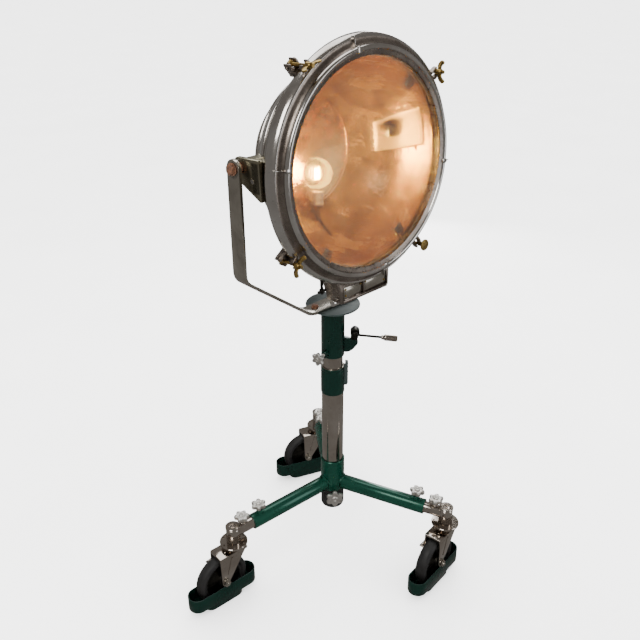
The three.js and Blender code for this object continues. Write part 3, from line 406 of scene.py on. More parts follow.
# Makes the piece, rounds its edges, cuts it where asked, and lets it ride on its body.
def placedPiece(name, bm, material, body, stands=(), bevel=0.5, smoothAngle=35, cuts=None):
    mesh = bpy.data.meshes.new(name)
    bmesh.ops.recalc_face_normals(bm, faces=bm.faces)
    bm.to_mesh(mesh)
    bm.free()
    piece = bpy.data.objects.new(name, mesh)
    scene.collection.objects.link(piece)
    cutter = None
    if cuts is not None:
        cutMesh = bpy.data.meshes.new(name + "Cut")
        cuts.to_mesh(cutMesh)
        cuts.free()
        cutter = bpy.data.objects.new(name + "Cut", cutMesh)
        scene.collection.objects.link(cutter)
        boolean = piece.modifiers.new("cut", "BOOLEAN")
        boolean.object = cutter
        boolean.solver = "EXACT"
    if bevel:
        rounding = piece.modifiers.new("rounding", "BEVEL")
        rounding.width = bevel * mm
        rounding.segments = 2
        rounding.limit_method = "ANGLE"
        rounding.angle_limit = math.radians(40)
    bpy.context.view_layer.update()
    final = bpy.data.meshes.new_from_object(piece.evaluated_get(bpy.context.evaluated_depsgraph_get()))
    piece.modifiers.clear()
    piece.data = final
    if cutter is not None:
        bpy.data.objects.remove(cutter)
    final.shade_smooth()
    final.set_sharp_from_angle(angle=math.radians(smoothAngle))
    final.materials.clear()
    final.materials.append(material)
    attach(piece, body)
    if stands:
        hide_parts(*stands)


def starOutline(radius, lobes, depth):
    outline = []
    total = lobes * 10
    for index in range(total):
        angle = 2 * math.pi * index / total
        swell = 0.5 + 0.5 * math.cos(lobes * angle)
        reach = radius * (1 - depth * (1 - swell ** 0.7))
        outline.append((reach * math.cos(angle), reach * math.sin(angle)))
    return outline


# Cast star knob: lobed rim, raised hub with a dimple, collar and stem.
def addStarKnob(bm, place, knob):
    radius, height = knob["diameter"] / 2, knob["height"]
    layers = [(0.0, 0.90), (0.12, 0.97), (0.3, 1.0), (0.7, 1.0), (0.9, 0.96), (1.0, 0.86), (1.02, 0.6),
              (0.96, 0.45)]
    outline = starOutline(radius, knob["lobes"], knob["scallop"])
    rings = []
    for level, share in layers:
        rings.append([bm.verts.new(place @ (Vector((x * share, y * share, height * level)) * mm)) for x,
                      y in outline])
    for low, high in zip(rings, rings[1:]):
        for index in range(len(outline)):
            after = (index + 1) % len(outline)
            bm.faces.new([low[index], low[after], high[after], high[index]])
    bm.faces.new(rings[0][::-1])
    bm.faces.new(rings[-1])
    hub = radius * 0.36
    addTurned(bm, [(0, -height * 0.5), (hub, -height * 0.5), (hub, 0), (hub, height * 1.08),
                   (hub * 0.8, height * 1.2), (hub * 0.45, height * 1.2), (hub * 0.35, height * 1.05),
                   (0, height * 1.05)], place, 32)
    stem = knob["stem"]
    threads = [(0, -knob["stemLength"])]
    z = -knob["stemLength"]
    while z < -height * 0.5:
        threads += [(stem * 0.86, z), (stem, z + 0.5)]
        z += 1.0
    addTurned(bm, threads + [(0, z)], place, 24)


alongX = Matrix.Rotation(math.pi / 2, 4, "Y")  # a piece made along Z then lies along X
alongY = Matrix.Rotation(-math.pi / 2, 4, "X")


def turnedAbout(degrees):
    return Matrix.Rotation(math.radians(degrees), 4, "Z")


def shifted(x=0.0, y=0.0, z=0.0):
    return Matrix.Translation(Vector((x, y, z)) * mm)


# Lamp: X to the right, Y down, Z back from the front of the glass
backward = jointAxis("rim_latch_turn")
downward = jointAxis("focus_screw_turn")
glassLow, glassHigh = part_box("lens_glass")
glassCentre = (glassLow + glassHigh) / 2
lampTurn = Matrix((Vector((1, 0, 0)), downward, backward)).transposed().to_4x4()
lamp = Matrix.Translation(glassCentre - backward * 3 * mm) @ lampTurn

bezel = {"window": 250, "seat": 258.3, "jointAngles": (-98.5, 81.5, 8.5, 188.5)}


def makeBezel():
    inside, seat = bezel["window"], bezel["seat"]
    roll = smoothLine([(287.6, 11.0), (290.4, 9.4), (294.0, 11.8), (297.8, 18.0), (299.7, 26.0),
                       (299.4, 34.0), (297.0, 38.6)], 4)
    bm = bmesh.new()
    addTurned(bm, roll + [(294, 39.4), (283, 39.4), (283, 14), roll[0]], lamp, 180)
    placedPiece("bezelOuterRoll", bm, polished, "lamp", ["bezel_ring"], 0.3)
    valley = smoothLine([(273.5, -1.0), (277.5, 4.4), (282.0, 7.8), (286.0, 9.4), (289.6, 9.8)], 4)
    bm = bmesh.new()
    addTurned(bm, valley + [(289.6, 26), (270, 26), (270, -1.0), valley[0]], lamp, 180)
    placedPiece("bezelValley", bm, roughCast, "lamp", (), 0.3)
    bead = smoothLine([(261.6, -4.8), (263.4, -8.4), (266.4, -9.8), (270.0, -9.6), (273.0, -7.2),
                       (274.6, -2.4), (274.4, 2.0)], 4)
    bm = bmesh.new()
    addTurned(bm, bead + [(262, 6), (260, 0), bead[0]], lamp, 180)
    placedPiece("bezelBead", bm, polished, "lamp", (), 0.2)
    bm = bmesh.new()
    band = [(inside, -0.3), (inside, -2.2), (inside + 1.6, -3.2), (inside + 5.5, -3.6),
            (inside + 11.0, -5.6), (262.5, -5.0)]
    addTurned(bm, band + [(264, 20), (seat, 20), (seat, -0.3), band[0]], lamp, 180)
    placedPiece("bezelInnerBand", bm, roughCast, "lamp", (), 0.3)
    bm = bmesh.new()
    for angle in bezel["jointAngles"]:
        spot = lamp @ turnedAbout(angle)
        addPrism(bm, [(260, -3.2), (263, -6.5), (272.5, -5.5), (277, 0), (272.5, 5.5), (263, 6.5),
                      (260, 3.2)], -10.0, 4.0, spot)
        addPrism(bm, [(276, -2.2), (290, -1.2), (298, -1.2), (298, 1.2), (290, 1.2), (276, 2.2)], 2, 12.4,
                 spot)
    placedPiece("bezelJointBridges", bm, polished, "lamp", (), 1.8)


makeBezel()

lens = {"diameter": 516, "thickness": 6}


def makeLens():
    bm = bmesh.new()
    radius, back = lens["diameter"] / 2, lens["thickness"]
    addTurned(bm, [(0, 0), (radius - 0.8, 0), (radius, 0.8), (radius, back - 0.8), (radius - 0.8, back),
                   (0, back)], lamp, 128)
    placedPiece("frontGlass", bm, lensGlass, "lamp", ["lens_glass"], 0)
    bm = bmesh.new()
    seat = bezel["window"]
    addPipe(bm, seat + 8, seat - 2.5, 6.4, 8.4, lamp, 128)
    placedPiece("glassGasket", bm, ceramic, "lamp", (), 0.4)


makeLens()

drum = {"line": [(259, 56), (249, 80), (239, 118), (222, 150), (202, 180), (178, 208), (157, 232)],
        "wall": 3, "flange": 287, "flangeFront": 40.4, "ribs": ((250.6, 78), (238.6, 119), (203.4, 178)),
        "rivets": 24, "rivetAt": (246.2, 91), "slope": 75.5}


def offsetLine(line, amount):
    moved = []
    for index, (radius, depth) in enumerate(line):
        before, after = line[max(0, index - 1)], line[min(len(line) - 1, index + 1)]
        along = Vector((after[0] - before[0], after[1] - before[1])).normalized()
        moved.append((radius - along.y * amount, depth + along.x * amount))
    return moved


def makeDrum():
    bm = bmesh.new()
    outer = smoothLine(drum["line"], 3)
    inner = offsetLine(outer, drum["wall"])[::-1]
    addTurned(bm, outer + inner + [outer[0]], lamp, 160)
    for radius, depth in drum["ribs"]:
        addTurned(bm, [(radius - 4, depth - 4), (radius + 1.6, depth - 3.6), (radius + 3.4, depth - 1.6),
                       (radius + 3.4, depth + 1.6), (radius + 0.6, depth + 4), (radius - 5, depth + 4),
                       (radius - 4, depth - 4)], lamp, 160)
    placedPiece("drumShell", bm, polished, "lamp", ["drum_body"], 0.4)
    bm = bmesh.new()
    rim, front = drum["flange"], drum["flangeFront"]
    addTurned(bm, [(256, front), (rim, front), (rim, front + 10), (rim - 3, front + 15.4),
                   (263, front + 19.6), (256, front + 19.6), (256, front)], lamp, 160)
    placedPiece("drumFlange", bm, roughCast, "lamp", (), 1.0)
    bm = bmesh.new()
    rivetRadius, rivetDepth = drum["rivetAt"]
    tilt = Matrix.Rotation(math.radians(drum["slope"]), 4, "Y")
    for index in range(drum["rivets"]):
        spot = lamp @ turnedAbout(360 * index / drum["rivets"] + 7.5) @ shifted(rivetRadius, 0,
                                rivetDepth) @ tilt
        addTurned(bm, [(0, -2), (3.4, -2), (3.2, 0.8), (2.2, 2.0), (0, 2.4)], spot, 16)
    placedPiece("drumRivets", bm, nickel, "lamp", (), 0)


makeDrum()

cover = {"radius": 153, "lip": 165, "depth": 232.3, "rise": 34, "screws": 8, "screwCircle": 159,
         "ribRings": (60, 112), "vents": 6, "ventCircle": 86}


def makeRearCover():
    bm = bmesh.new()
    radius, back, rise = cover["radius"], cover["depth"], cover["rise"]
    dome, inside = [], []
    for step in range(19):
        t = math.radians(90 - 5 * step)
        dome.append((radius * math.sin(t) if step < 18 else 0, back + 5 + (rise - 5) * math.cos(t)))
        inside.append(((radius - 3) * math.sin(t) if step < 18 else 0, back + 2 + (rise - 5) * math.cos(t)))
    addTurned(bm, [(cover["lip"], back), (cover["lip"], back + 5)] + dome + inside[::-1] + [(radius - 3,
                            back), (cover["lip"], back)], lamp, 128)
    for ring in cover["ribRings"]:
        z = back + 5 + (rise - 5) * math.sqrt(1 - (ring / radius) ** 2)
        addTurned(bm, [(ring - 4, z - 3), (ring + 4, z - 3), (ring + 2.5, z + 0.7), (ring - 2.5, z + 1.4),
                       (ring - 4, z - 3)], lamp, 96)
    placedPiece("rearCover", bm, polished, "lamp", ["rear_cover"], 0.5)
    bm = bmesh.new()
    for index in range(cover["screws"]):
        spot = lamp @ turnedAbout(360 * index / cover["screws"] + 22.5) @ shifted(cover["screwCircle"], 0,
                                back + 5)
        addTurned(bm, [(0, -1), (4.6, -1), (4.6, 1.6), (3.4, 3.0), (1.2, 3.2), (0, 3.2)], spot, 20)
    addTurned(bm, [(0, back + rise - 3), (24, back + rise - 4), (22, back + rise + 3),
                   (15, back + rise + 5), (0, back + rise + 5)], lamp, 48)
    placedPiece("coverScrews", bm, nickel, "lamp", (), 0.3)
    bm = bmesh.new()
    # The vent slots are dark inserts: painted shade where the openings are.
    vent = cover["ventCircle"]
    z = back + 5 + (rise - 5) * math.sqrt(1 - (vent / radius) ** 2)
    for index in range(cover["vents"]):
        spot = lamp @ turnedAbout(360 * index / cover["vents"]) @ shifted(vent, 0,
                                z) @ Matrix.Rotation(math.radians(12), 4, "Y")
        addPrism(bm, [(-3, -20), (3, -20), (4.5, -18), (4.5, 18), (3, 20), (-3, 20), (-4.5, 18),
                      (-4.5, -18)], -2, 0.9, spot)
    placedPiece("coverVentSlots", bm, paintedHoleShade, "lamp", (), 0.3)


makeRearCover()

bracket = {"outer": 292, "thickness": 14, "level": -34, "depth": 130, "hole": 4.5}


def makeBrackets():
    level, depth = bracket["level"], bracket["depth"]
    for side, label in ((-1, "Left"), (1, "Right")):
        bm = bmesh.new()
        acrossX = Matrix(((0, 0, 1, 0), (1, 0, 0, 0), (0, 1, 0, 0), (0, 0, 0, 1)))
        start = bracket["outer"] - bracket["thickness"] if side > 0 else -bracket["outer"]
        outline = [(level - 15, depth + 20), (level + 19, depth + 20), (level + 30, depth + 13),
                   (level + 71, 66), (level + 70, 60), (level - 20, 60), (level - 24, 66),
                   (level - 22, depth + 12)]
        addPrism(bm, outline, start, start + bracket["thickness"], lamp @ acrossX)
        addBlock(bm, (98, 30, 34), (side * (bracket["outer"] - 57), level, depth), lamp)
        addBlock(bm, (54, 72, 26), (side * (bracket["outer"] - 27), level + 18, 76), lamp)
        addBlock(bm, (5, 96, 5), (side * (bracket["outer"] - 3.5), level + 23, 62.6), lamp)
        placedPiece("trunnionBracket" + label, bm, bracketMetalAndTabShade, "lamp", (), 1.6)
        bm = bmesh.new()
        face = side * bracket["outer"]
        place = lamp @ shifted(face, level + 26, 88) @ alongX
        addTurned(bm, [(bracket["hole"], -1.4), (bracket["hole"] + 2.2, -1.2),
                       (bracket["hole"] + 1.8, 0.5), (bracket["hole"], 0.6), (bracket["hole"], -1.4)],
                       place, 32)
        placedPiece("bracketHoleRim" + label, bm, nickel, "lamp", (), 0)
        bm = bmesh.new()
        # A dark cap set in the hole: painted shade inside it.
        addRod(bm, bracket["hole"], -1.2, 0.15, place, 32)
        placedPiece("bracketHole" + label, bm, paintedHoleShade, "lamp", (), 0)


makeBrackets()
print("lamp body made")

bowl = {"gap": 12, "wall": 1.5, "front": 18, "mirrorEdge": (143, 224), "slotCentre": (0, 205, 178),
        "slotSize": (10, 90, 60)}


def bowlLine():
    line = [point for point in offsetLine(drum["line"], bowl["gap"]) if point[1] < 219]
    return smoothLine([(247, bowl["front"])] + line[1:] + [bowl["mirrorEdge"]], 5)


def makeReflector():
    bm = bmesh.new()
    inner = bowlLine()
    outer = offsetLine(inner, -bowl["wall"])
    outer[0] = (outer[0][0], inner[0][1])
    lip = [(256, inner[0][1] + bowl["wall"]), (256, inner[0][1]), inner[0]]
    addTurned(bm, inner + outer[::-1][:-1] + lip, lamp, 192)
    cuts = bmesh.new()
    addBlock(cuts, bowl["slotSize"], bowl["slotCentre"], lamp)
    placedPiece("reflectorBowl", bm, bowlMetalPaintedGlow, "lamp", ["reflector"], 0, 40, cuts)
    bm = bmesh.new()
    edge, depth = bowl["mirrorEdge"]
    addTurned(bm, [(edge - 6, depth + 0.4), (edge - 5, depth - 2.2), (edge - 2, depth - 3.0),
                   (edge + 1.5, depth - 1.6), (edge + 1, depth + 0.6), (edge - 6, depth + 0.4)], lamp, 144)
    placedPiece("mirrorRim", bm, bowlMetalPaintedGlow, "lamp", (), 0)


mirror = {"radius": 142, "edge": 224.4, "sag": 16, "thickness": 2}


def makeMirror():
    bm = bmesh.new()
    front, back = [], []
    for step in range(25):
        r = mirror["radius"] * step / 24
        depth = mirror["edge"] + mirror["sag"] * (1 - (r / mirror["radius"]) ** 2)
        front.append((r, depth))
        back.append((r, depth + mirror["thickness"]))
    addTurned(bm, front + back[::-1], lamp, 128)
    placedPiece("backMirror", bm, mirrorMetalPaintedGlow, "lamp", ["back_mirror"], 0)


tabs = {"radius": 226, "depth": 30, "angles": (-44, 57, -136, 123), "seams": 10}
wallPlate = {"angles": (-20, 4), "depths": (42, 172), "rise": 1.6, "lean": 8, "edge": 1.0}


def radiusAt(depth, line):
    for (r1, d1), (r2, d2) in zip(line, line[1:]):
        if d1 <= depth <= d2:
            return r1 + (r2 - r1) * (depth - d1) / (d2 - d1)
    return line[-1][0]


def makeBowlFittings():
    line = bowlLine()
    bm, screws = bmesh.new(), bmesh.new()
    for angle in tabs["angles"]:
        spot = lamp @ turnedAbout(angle) @ shifted(tabs["radius"] + 8, 0, tabs["depth"])
        addBlock(bm, (24, 30, 2.4), (0, 0, 0), spot)
        addBlock(bm, (2.4, 30, 26), (11, 0, 12), spot)
        addTurned(screws, [(0, -4.6), (4.2, -4.2), (5.6, -2.4), (5.8, -1.0), (0, -1.0)],
                  spot @ shifted(-2, 0, 0), 20)
    # The tabs take the darker bracket metal as painted shade; they sit in shadow inside the bezel.
    placedPiece("bowlTabs", bm, bracketMetalAndTabShade, "lamp", (), 0.8)
    placedPiece("bowlTabScrews", screws, brass, "lamp", (), 0)
    bm = bmesh.new()
    for index in range(tabs["seams"]):
        angle = 360 * index / tabs["seams"] + 12
        points = []
        for radius, depth in line[4:-8]:
            points.append(lamp @ turnedAbout(angle + 0.05 * (depth - 100)) @ (Vector((radius - 0.1, 0,
                                    depth)) * mm))
        addSwept(bm, points, 0.55, 6)
    placedPiece("bowlSeams", bm, bowlMetalPaintedGlow, "lamp", (), 0)
    bm = bmesh.new()
    rows = []
    steps = 12
    shallow, deep = wallPlate["depths"]
    first, last = wallPlate["angles"]
    for level in (wallPlate["rise"], -0.4):
        for i in range(steps + 1):
            depth = shallow + (deep - shallow) * i / steps
            radius = radiusAt(depth, line) - level
            row = []
            for k in range(steps + 1):
                lean = wallPlate["lean"] * (i / steps - 0.5)
                angle = math.radians(first + (last - first) * k / steps + lean)
                corner = Vector((radius * math.cos(angle), radius * math.sin(angle), depth)) * mm
                row.append(bm.verts.new(lamp @ corner))
            rows.append(row)
    top, bottom = rows[:steps + 1], rows[steps + 1:]
    for layer in (top, bottom):
        for i in range(steps):
            for k in range(steps):
                bm.faces.new([layer[i][k], layer[i][k + 1], layer[i + 1][k + 1], layer[i + 1][k]])
    border = [(0, k) for k in range(steps)] + [(i, steps) for i in range(steps)]
    border += [(steps, k) for k in range(steps, 0, -1)] + [(i, 0) for i in range(steps, 0, -1)]
    for (i, k), (j, m) in zip(border, border[1:] + border[:1]):
        bm.faces.new([top[i][k], top[j][m], bottom[j][m], bottom[i][k]])
    edge = bmesh.new()
    addSwept(edge, [top[i][k].co.copy() for i, k in border], wallPlate["edge"], 8, True)
    placedPiece("wallPlateEdge", edge, nickel, "lamp", (), 0)
    placedPiece("wallPlate", bm, plateMetalPaintedGlow, "lamp", (), 0.4)


makeReflector()
makeMirror()
makeBowlFittings()

bulb = {"depth": 195, "drop": 50, "radius": 36, "wall": 1.2, "neck": 11, "holderTop": -46,
        "holderHeight": 38, "holderRadius": 13.5, "grid": (8, -14, 12), "gridBars": 5, "gridWires": 7}
bulbPlace = lamp @ shifted(0, bulb["drop"], bulb["depth"]) @ Matrix.Rotation(math.pi / 2, 4,
                        "X")  # its Z points up


def makeBulb():
    radius, wall, neck, low = bulb["radius"], bulb["wall"], bulb["neck"], bulb["holderTop"] + 0.4
    start = math.asin(neck / radius)
    outer, inner = [], []
    for step in range(25):
        t = start + (math.pi - start) * step / 24
        last = step == 24
        outer.append((0 if last else radius * math.sin(t), -radius * math.cos(t)))
        inner.append((0 if last else (radius - wall) * math.sin(t), -(radius - wall) * math.cos(t)))
    bm = bmesh.new()
    addTurned(bm, [(neck - wall, low), (neck, low)] + outer + inner[::-1] + [(neck - wall, low)],
              bulbPlace, 64)
    placedPiece("bulbGlobe", bm, bulbGlassPaintedGlow, "lamp", ["bulb_glass"], 0)
    bm = bmesh.new()
    top, bottom, wide = bulb["holderTop"], bulb["holderTop"] - bulb["holderHeight"], bulb["holderRadius"]
    profile = [(0, bottom), (wide - 2, bottom), (wide, bottom + 2), (wide, bottom + 9),
               (wide - 1.2, bottom + 10), (wide - 1.2, bottom + 12), (wide, bottom + 13), (wide, top - 9),
               (wide + 2, top - 7), (wide + 2, top - 1), (wide + 1, top), (5.2, top), (5.2, top - 6),
               (0, top - 6)]
    addTurned(bm, profile, bulbPlace, 48)
    placedPiece("lampholderBody", bm, ceramic, "lamp", ["lampholder"], 0.5)
    bm = bmesh.new()
    addBlock(bm, (40, 14, 2), (0, 9, bottom + 12), bulbPlace)
    for x in (-16, 16):
        addBlock(bm, (2, 14, 30), (x, 9, bottom - 2), bulbPlace)
    placedPiece("holderStrap", bm, nickel, "lamp", (), 0.5)
    half, low, high = bulb["grid"]
    bm = bmesh.new()
    bars, wires = bulb["gridBars"], bulb["gridWires"]
    for index in range(bars):
        z = low + (high - low) * index / (bars - 1)
        addRod(bm, 1.15, -half, half, bulbPlace @ shifted(0, 0, z) @ alongX, 10)
    for index in range(wires):
        x = -half + 2 * half * index / (wires - 1)
        addRod(bm, 0.8, low, high, bulbPlace @ shifted(x, 0, 0), 8)
    addPrism(bm, [(-half + 1, -0.35), (half - 1, -0.35), (half - 1, 0.35), (-half + 1, 0.35)], low, high,
             bulbPlace)
    placedPiece("filamentGrid", bm, glow, "lamp", ["filament"], 0)
    bm = bmesh.new()
    for x in (-half, half):
        points = [bulbPlace @ (Vector(p) * mm) for p in ((x * 0.3, 0, low - 31), (x * 0.5, 0, low - 18),
                                (x, 0, low - 4), (x, 0, low))]
        addSwept(bm, curvePoints(points, 6), 0.7, 8)
    addTurned(bm, [(0, -51), (4, -51), (4, -38), (2.6, -33), (0, -32)], bulbPlace, 24)
    placedPiece("filamentSupports", bm, nickel, "lamp", (), 0)


leads = {"radius": 1.7, "twist": 2.6, "turns": 2.2, "end": 181}


def makeLeads():
    top = bulb["holderTop"] - bulb["holderHeight"] + 2
    end = bulb["drop"] - leads["end"]
    for index, (label, material) in enumerate((("Yellow", yellowLead), ("Brown", brownLead))):
        bm = bmesh.new()
        points = []
        for step in range(33):
            t = step / 32
            angle = math.pi * (index + 2 * leads["turns"] * t)
            spread = leads["twist"] * (0.35 + math.sin(math.pi * min(t * 1.25, 1.0)))
            side = -4.0 * math.sin(math.pi * t)
            points.append(bulbPlace @ (Vector((side + spread * math.cos(angle),
                                    -2 * math.sin(math.pi * t) + 0.7 * spread * math.sin(angle),
                                    top + (end - top) * t)) * mm))
        addSwept(bm, points, leads["radius"], 12)
        placedPiece("lampLead" + label, bm, material, "lamp", ["lamp_leads"] if index == 0 else (), 0)


makeBulb()
makeLeads()
print("reflector, bulb and leads made")

casting = {"top": 262, "bottom": 345, "left": -84, "right": 84, "front": 34, "depth": 52, "rodRadius": 9}


def makeLowerCasting():
    top, bottom, left, right, front = (casting[key] for key in ("top", "bottom", "left", "right", "front"))
    bm = bmesh.new()
    outline = [(left - 30, top), (left - 24, top + 2), (left - 4, bottom - 22), (left, bottom),
               (right, bottom), (right + 4, bottom - 40), (right + 8, top)]
    cuts = bmesh.new()
    addPrism(bm, outline, front, front + casting["depth"], lamp)
    clear = [(0, 0), (301.6, 0), (301.6, 46), (287.4, 46), (287.4, 56.4), (264, 61), (250.5, 72),
             (240.5, 92), (0, 100)]
    addTurned(cuts, clear, lamp, 128)
    addBlock(cuts, (144, 70, 30), (0, bottom - 42, front + casting["depth"]), lamp)
    placedPiece("lowerCasting", bm, roughCast, "lamp", ["lower_casting"], 1.2, 35, cuts)
    bm = bmesh.new()
    face = front - 0.4
    for x1, x2, tilt in ((left + 9, -11, 3), (-3, right - 8, -2)):
        outer = [(x1, 303), (x2, 303 + tilt), (x2, bottom - 15), (x1, bottom - 12)]
        addPrism(bm, outer, face - 1.6, face + 1, lamp)
        inset = [(x1 + 4, 307), (x2 - 4, 307 + tilt), (x2 - 4, bottom - 19), (x1 + 4, bottom - 16)]
        addPrism(bm, inset, face - 2.6, face, lamp)
    placedPiece("castingPlates", bm, nickel, "lamp", (), 0.9)
    bm = bmesh.new()
    addPrism(bm, [(-10.5, 292), (-3.5, 292), (-4.5, bottom - 6), (-9.5, bottom - 6)], face - 5, face + 4,
             lamp)
    addPrism(bm, [(left - 22, 272), (left - 14, 268), (left + 6, bottom - 8), (left - 2, bottom)],
             face - 4, face + 8, lamp)
    addPrism(bm, [(right - 4, 296), (right + 5, 296), (right + 2, bottom - 4), (right - 5, bottom - 4)],
             face - 4, face + 8, lamp)
    addBlock(bm, (right - left - 6, 8, 9), (0, bottom - 5, face - 1), lamp)
    for x in (-62, -22):
        addBlock(bm, (26, 12, 18), (x, bottom - 6, face + 6), lamp)
    placedPiece("castingRibs", bm, roughCast, "lamp", (), 1.8)
    bm = bmesh.new()
    radius, y, z = casting["rodRadius"], bottom - 5, front + 14
    addRod(bm, radius - 2, -100, 84, lamp @ shifted(-2, y, z) @ alongX)
    for x, width in ((-97, 10), (-84, 5), (70, 26)):
        addTurned(bm, [(0, -width / 2 - 1.5), (radius - 3, -width / 2 - 1.5), (radius, -width / 2),
                       (radius, width / 2), (radius - 3, width / 2 + 1.5), (0, width / 2 + 1.5)],
                       lamp @ shifted(x, y, z) @ alongX, 40)
    placedPiece("hingeRod", bm, polished, "lamp", (), 0.4)
    bm = bmesh.new()
    for x, y in ((left + 14, 308), (-16, 308), (left + 14, bottom - 20), (2, 308), (right - 13, 308),
                 (right - 13, bottom - 22)):
        addTurned(bm, [(0, -4.6), (1.6, -4.4), (2.6, -3.4), (2.8, -2.0), (0, -2.0)],
                  lamp @ shifted(x, y, face), 16)
    placedPiece("plateScrews", bm, brass, "lamp", (), 0)


makeLowerCasting()

clamp = {"radius": 309, "pivotDepth": 60, "bolt": 4.5, "angles": (-126.5, -36.5, 53.5, 143.5)}


def wingOutline():
    return smoothLine([(0, -4.5), (7, -6.5), (13, -5.5), (20, -0.5), (23.6, 6), (21.5, 12), (17, 13.5),
                       (13.5, 10), (10, 6), (6, 4.5), (0, 4)], 3)


def makeClamps():
    bm = bmesh.new()
    for angle in clamp["angles"]:
        place = lamp @ turnedAbout(angle) @ shifted(clamp["radius"], 0, 0)
        for side in (-1, 1):
            prong = [(-15, side * 5.2), (2, side * 5.2), (7, side * 6.6), (7, side * 10.5),
                     (0, side * 12.5), (-15, side * 12.5)]
            addPrism(bm, prong, 8.5, 19.5, place)
            lug = [(-26, side * 7), (2, side * 7), (8, side * 8), (8, side * 12), (2, side * 13),
                   (-26, side * 13)]
            addPrism(bm, lug, 46, 69, place)
        addRod(bm, 4.6, -17, 17, place @ shifted(0, 0, clamp["pivotDepth"]) @ alongY, 24)
        addPrism(bm, [(-26, -13), (-12, -13), (-12, 13), (-26, 13)], 43, 64, place)
    placedPiece("clampLugs", bm, roughCast, "lamp", (), 1.2)
    for number, angle in enumerate(clamp["angles"], 1):
        body = f"clamp_{number}"
        place = lamp @ turnedAbout(angle) @ shifted(clamp["radius"], 0, 0)
        bolt = bmesh.new()
        addRod(bolt, clamp["bolt"] - 0.4, -13, 54, place, 28)
        for z in range(-12, 6):
            addTurned(bolt, [(clamp["bolt"] - 1.2, z - 0.5), (clamp["bolt"], z),
                             (clamp["bolt"] - 1.2, z + 0.5), (clamp["bolt"] - 1.2, z - 0.5)], place, 28)
        eye = place @ shifted(0, 0, clamp["pivotDepth"]) @ alongY
        addTurned(bolt, [(4.8, -5.5), (7.2, -5.5), (8, -4.5), (8, 4.5), (7.2, 5.5), (4.8, 5.5),
                         (4.8, -5.5)], eye, 32)
        placedPiece(f"clampBolt{number}", bolt, brass, body, [f"swing_clamp_{number}"], 0)
        bm = bmesh.new()
        nut = place @ shifted(0, 0, -1)
        if number == 3:
            addTurned(bm, [(0, -13.5), (14.5, -13.2), (15.5, -12), (15.5, -10), (14.5, -9), (7, -8.4),
                           (6.5, 8), (0, 8)], nut, 48)
        else:
            addTurned(bm, [(0, -6.5), (5.5, -6.5), (7.2, -4), (8, 5), (8, 8.4), (0, 8.4)], nut, 36)
            spin = 18 * number
            for side in (0, 180):
                leaf = nut @ turnedAbout(90 + spin + side) @ Matrix.Rotation(math.pi / 2, 4,
                                        "X") @ Matrix.Scale(-1, 4, (0, 1, 0))
                addPrism(bm, [(x + 4, y) for x, y in wingOutline()], -2.1, 2.1, leaf)
        placedPiece(f"wingNut{number}", bm, brass, body, (), 1.1)


makeClamps()


def makeLampScrews():
    place = placeOn(jointPlace("focus_screw_turn"), downward, (1, 0, 0))
    bm = bmesh.new()
    addRod(bm, 4, -8, 40, place, 24)
    for z in range(8, 38, 2):
        addTurned(bm, [(3.4, z - 1), (4.4, z), (3.4, z + 1), (3.4, z - 1)], place, 24)
    addTurned(bm, [(0, 37), (6, 37), (7, 39), (7, 45), (4, 49), (2.5, 51), (0, 51.5)], place, 28)
    for side in (0, 180):
        wing = place @ shifted(0, 0, 42) @ turnedAbout(side) @ Matrix.Rotation(math.pi / 2, 4, "X")
        addPrism(bm, smoothLine([(2, -3.5), (8, -3.2), (13.5, -1.6), (14.6, 1.6), (11, 4), (2, 4)], 4),
                 -2.2, 2.2, wing)
    placedPiece("focusWingScrew", bm, darkIron, "focus_knob", ["focus_screw"], 0.8)
    place = placeOn(jointPlace("rim_latch_turn"), backward, (1, 0, 0))
    offset = (jointPlace("rim_latch_turn") - lamp.translation).dot(backward) / mm
    bm = bmesh.new()
    addRod(bm, 4, 46 - offset, 68 - offset, place, 24)
    addTurned(bm, [(0, 64 - offset), (11, 64 - offset), (13.4, 65.5 - offset), (14, 68 - offset),
                   (13.4, 71.5 - offset), (11, 73.6 - offset), (5, 74 - offset), (0, 73.4 - offset)],
                   place, 48)
    placedPiece("rimLatchKnob", bm, brass, "rim_latch", ["rim_latch_knob"], 0.4)


makeLampScrews()
print("casting, clamps and screws made")

# Yoke and table
yoke = {"half": 312.5, "foot": 100, "width": 45, "thickness": 9, "bottom": 847.3, "corner": 1008,
        "eye": 1285, "bend": 16}


def roundedCorner(before, corner, after, reach):
    corner = Vector(corner)
    start = corner + (Vector(before) - corner).normalized() * reach
    end = corner + (Vector(after) - corner).normalized() * reach
    points = []
    for step in range(7):
        t = step / 6
        points.append(tuple(start * (1 - t) ** 2 + corner * 2 * t * (1 - t) + end * t ** 2))
    return points


def makeYoke():
    thick, low, eye = yoke["thickness"], yoke["bottom"], yoke["eye"]
    half, foot, corner = yoke["half"], yoke["foot"], yoke["corner"]
    slant = math.atan2(corner - low, half - foot)
    rise, bend = thick * math.tan(slant / 2), thick * math.tan((math.pi / 2 - slant) / 2)
    outer = roundedCorner((0, low), (foot, low), (half, corner), yoke["bend"] + 4)
    outer += roundedCorner((foot, low), (half, corner), (half, eye), yoke["bend"] + 6)
    inner = roundedCorner((half - thick, eye), (half - thick, corner + bend), (foot - rise, low + thick),
                          yoke["bend"])
    inner += roundedCorner((half - thick, corner + bend), (foot - rise, low + thick), (0, low + thick),
                           yoke["bend"])
    right = outer + [(half, eye), (half - thick, eye)] + inner
    outline = right + [(-x, z) for x, z in reversed(right)]
    stand = column @ shifted(0, yoke["width"] / 2, 0) @ Matrix.Rotation(math.pi / 2, 4, "X")
    bm = bmesh.new()
    addPrism(bm, outline, 0, yoke["width"], stand)
    for side in (-1, 1):
        place = column @ shifted(side * (half - thick / 2), 0, eye) @ alongX
        addPipe(bm, yoke["width"] / 2, 8.3, -thick / 2, thick / 2, place, 64)
    placedPiece("yokeStrap", bm, nickel, "turntable", ["yoke"], 1.0)


makeYoke()

table = {"radius": 75, "bottom": 842, "top": 847, "spigot": 28.2, "spigotLength": 60, "boltAt": 66}


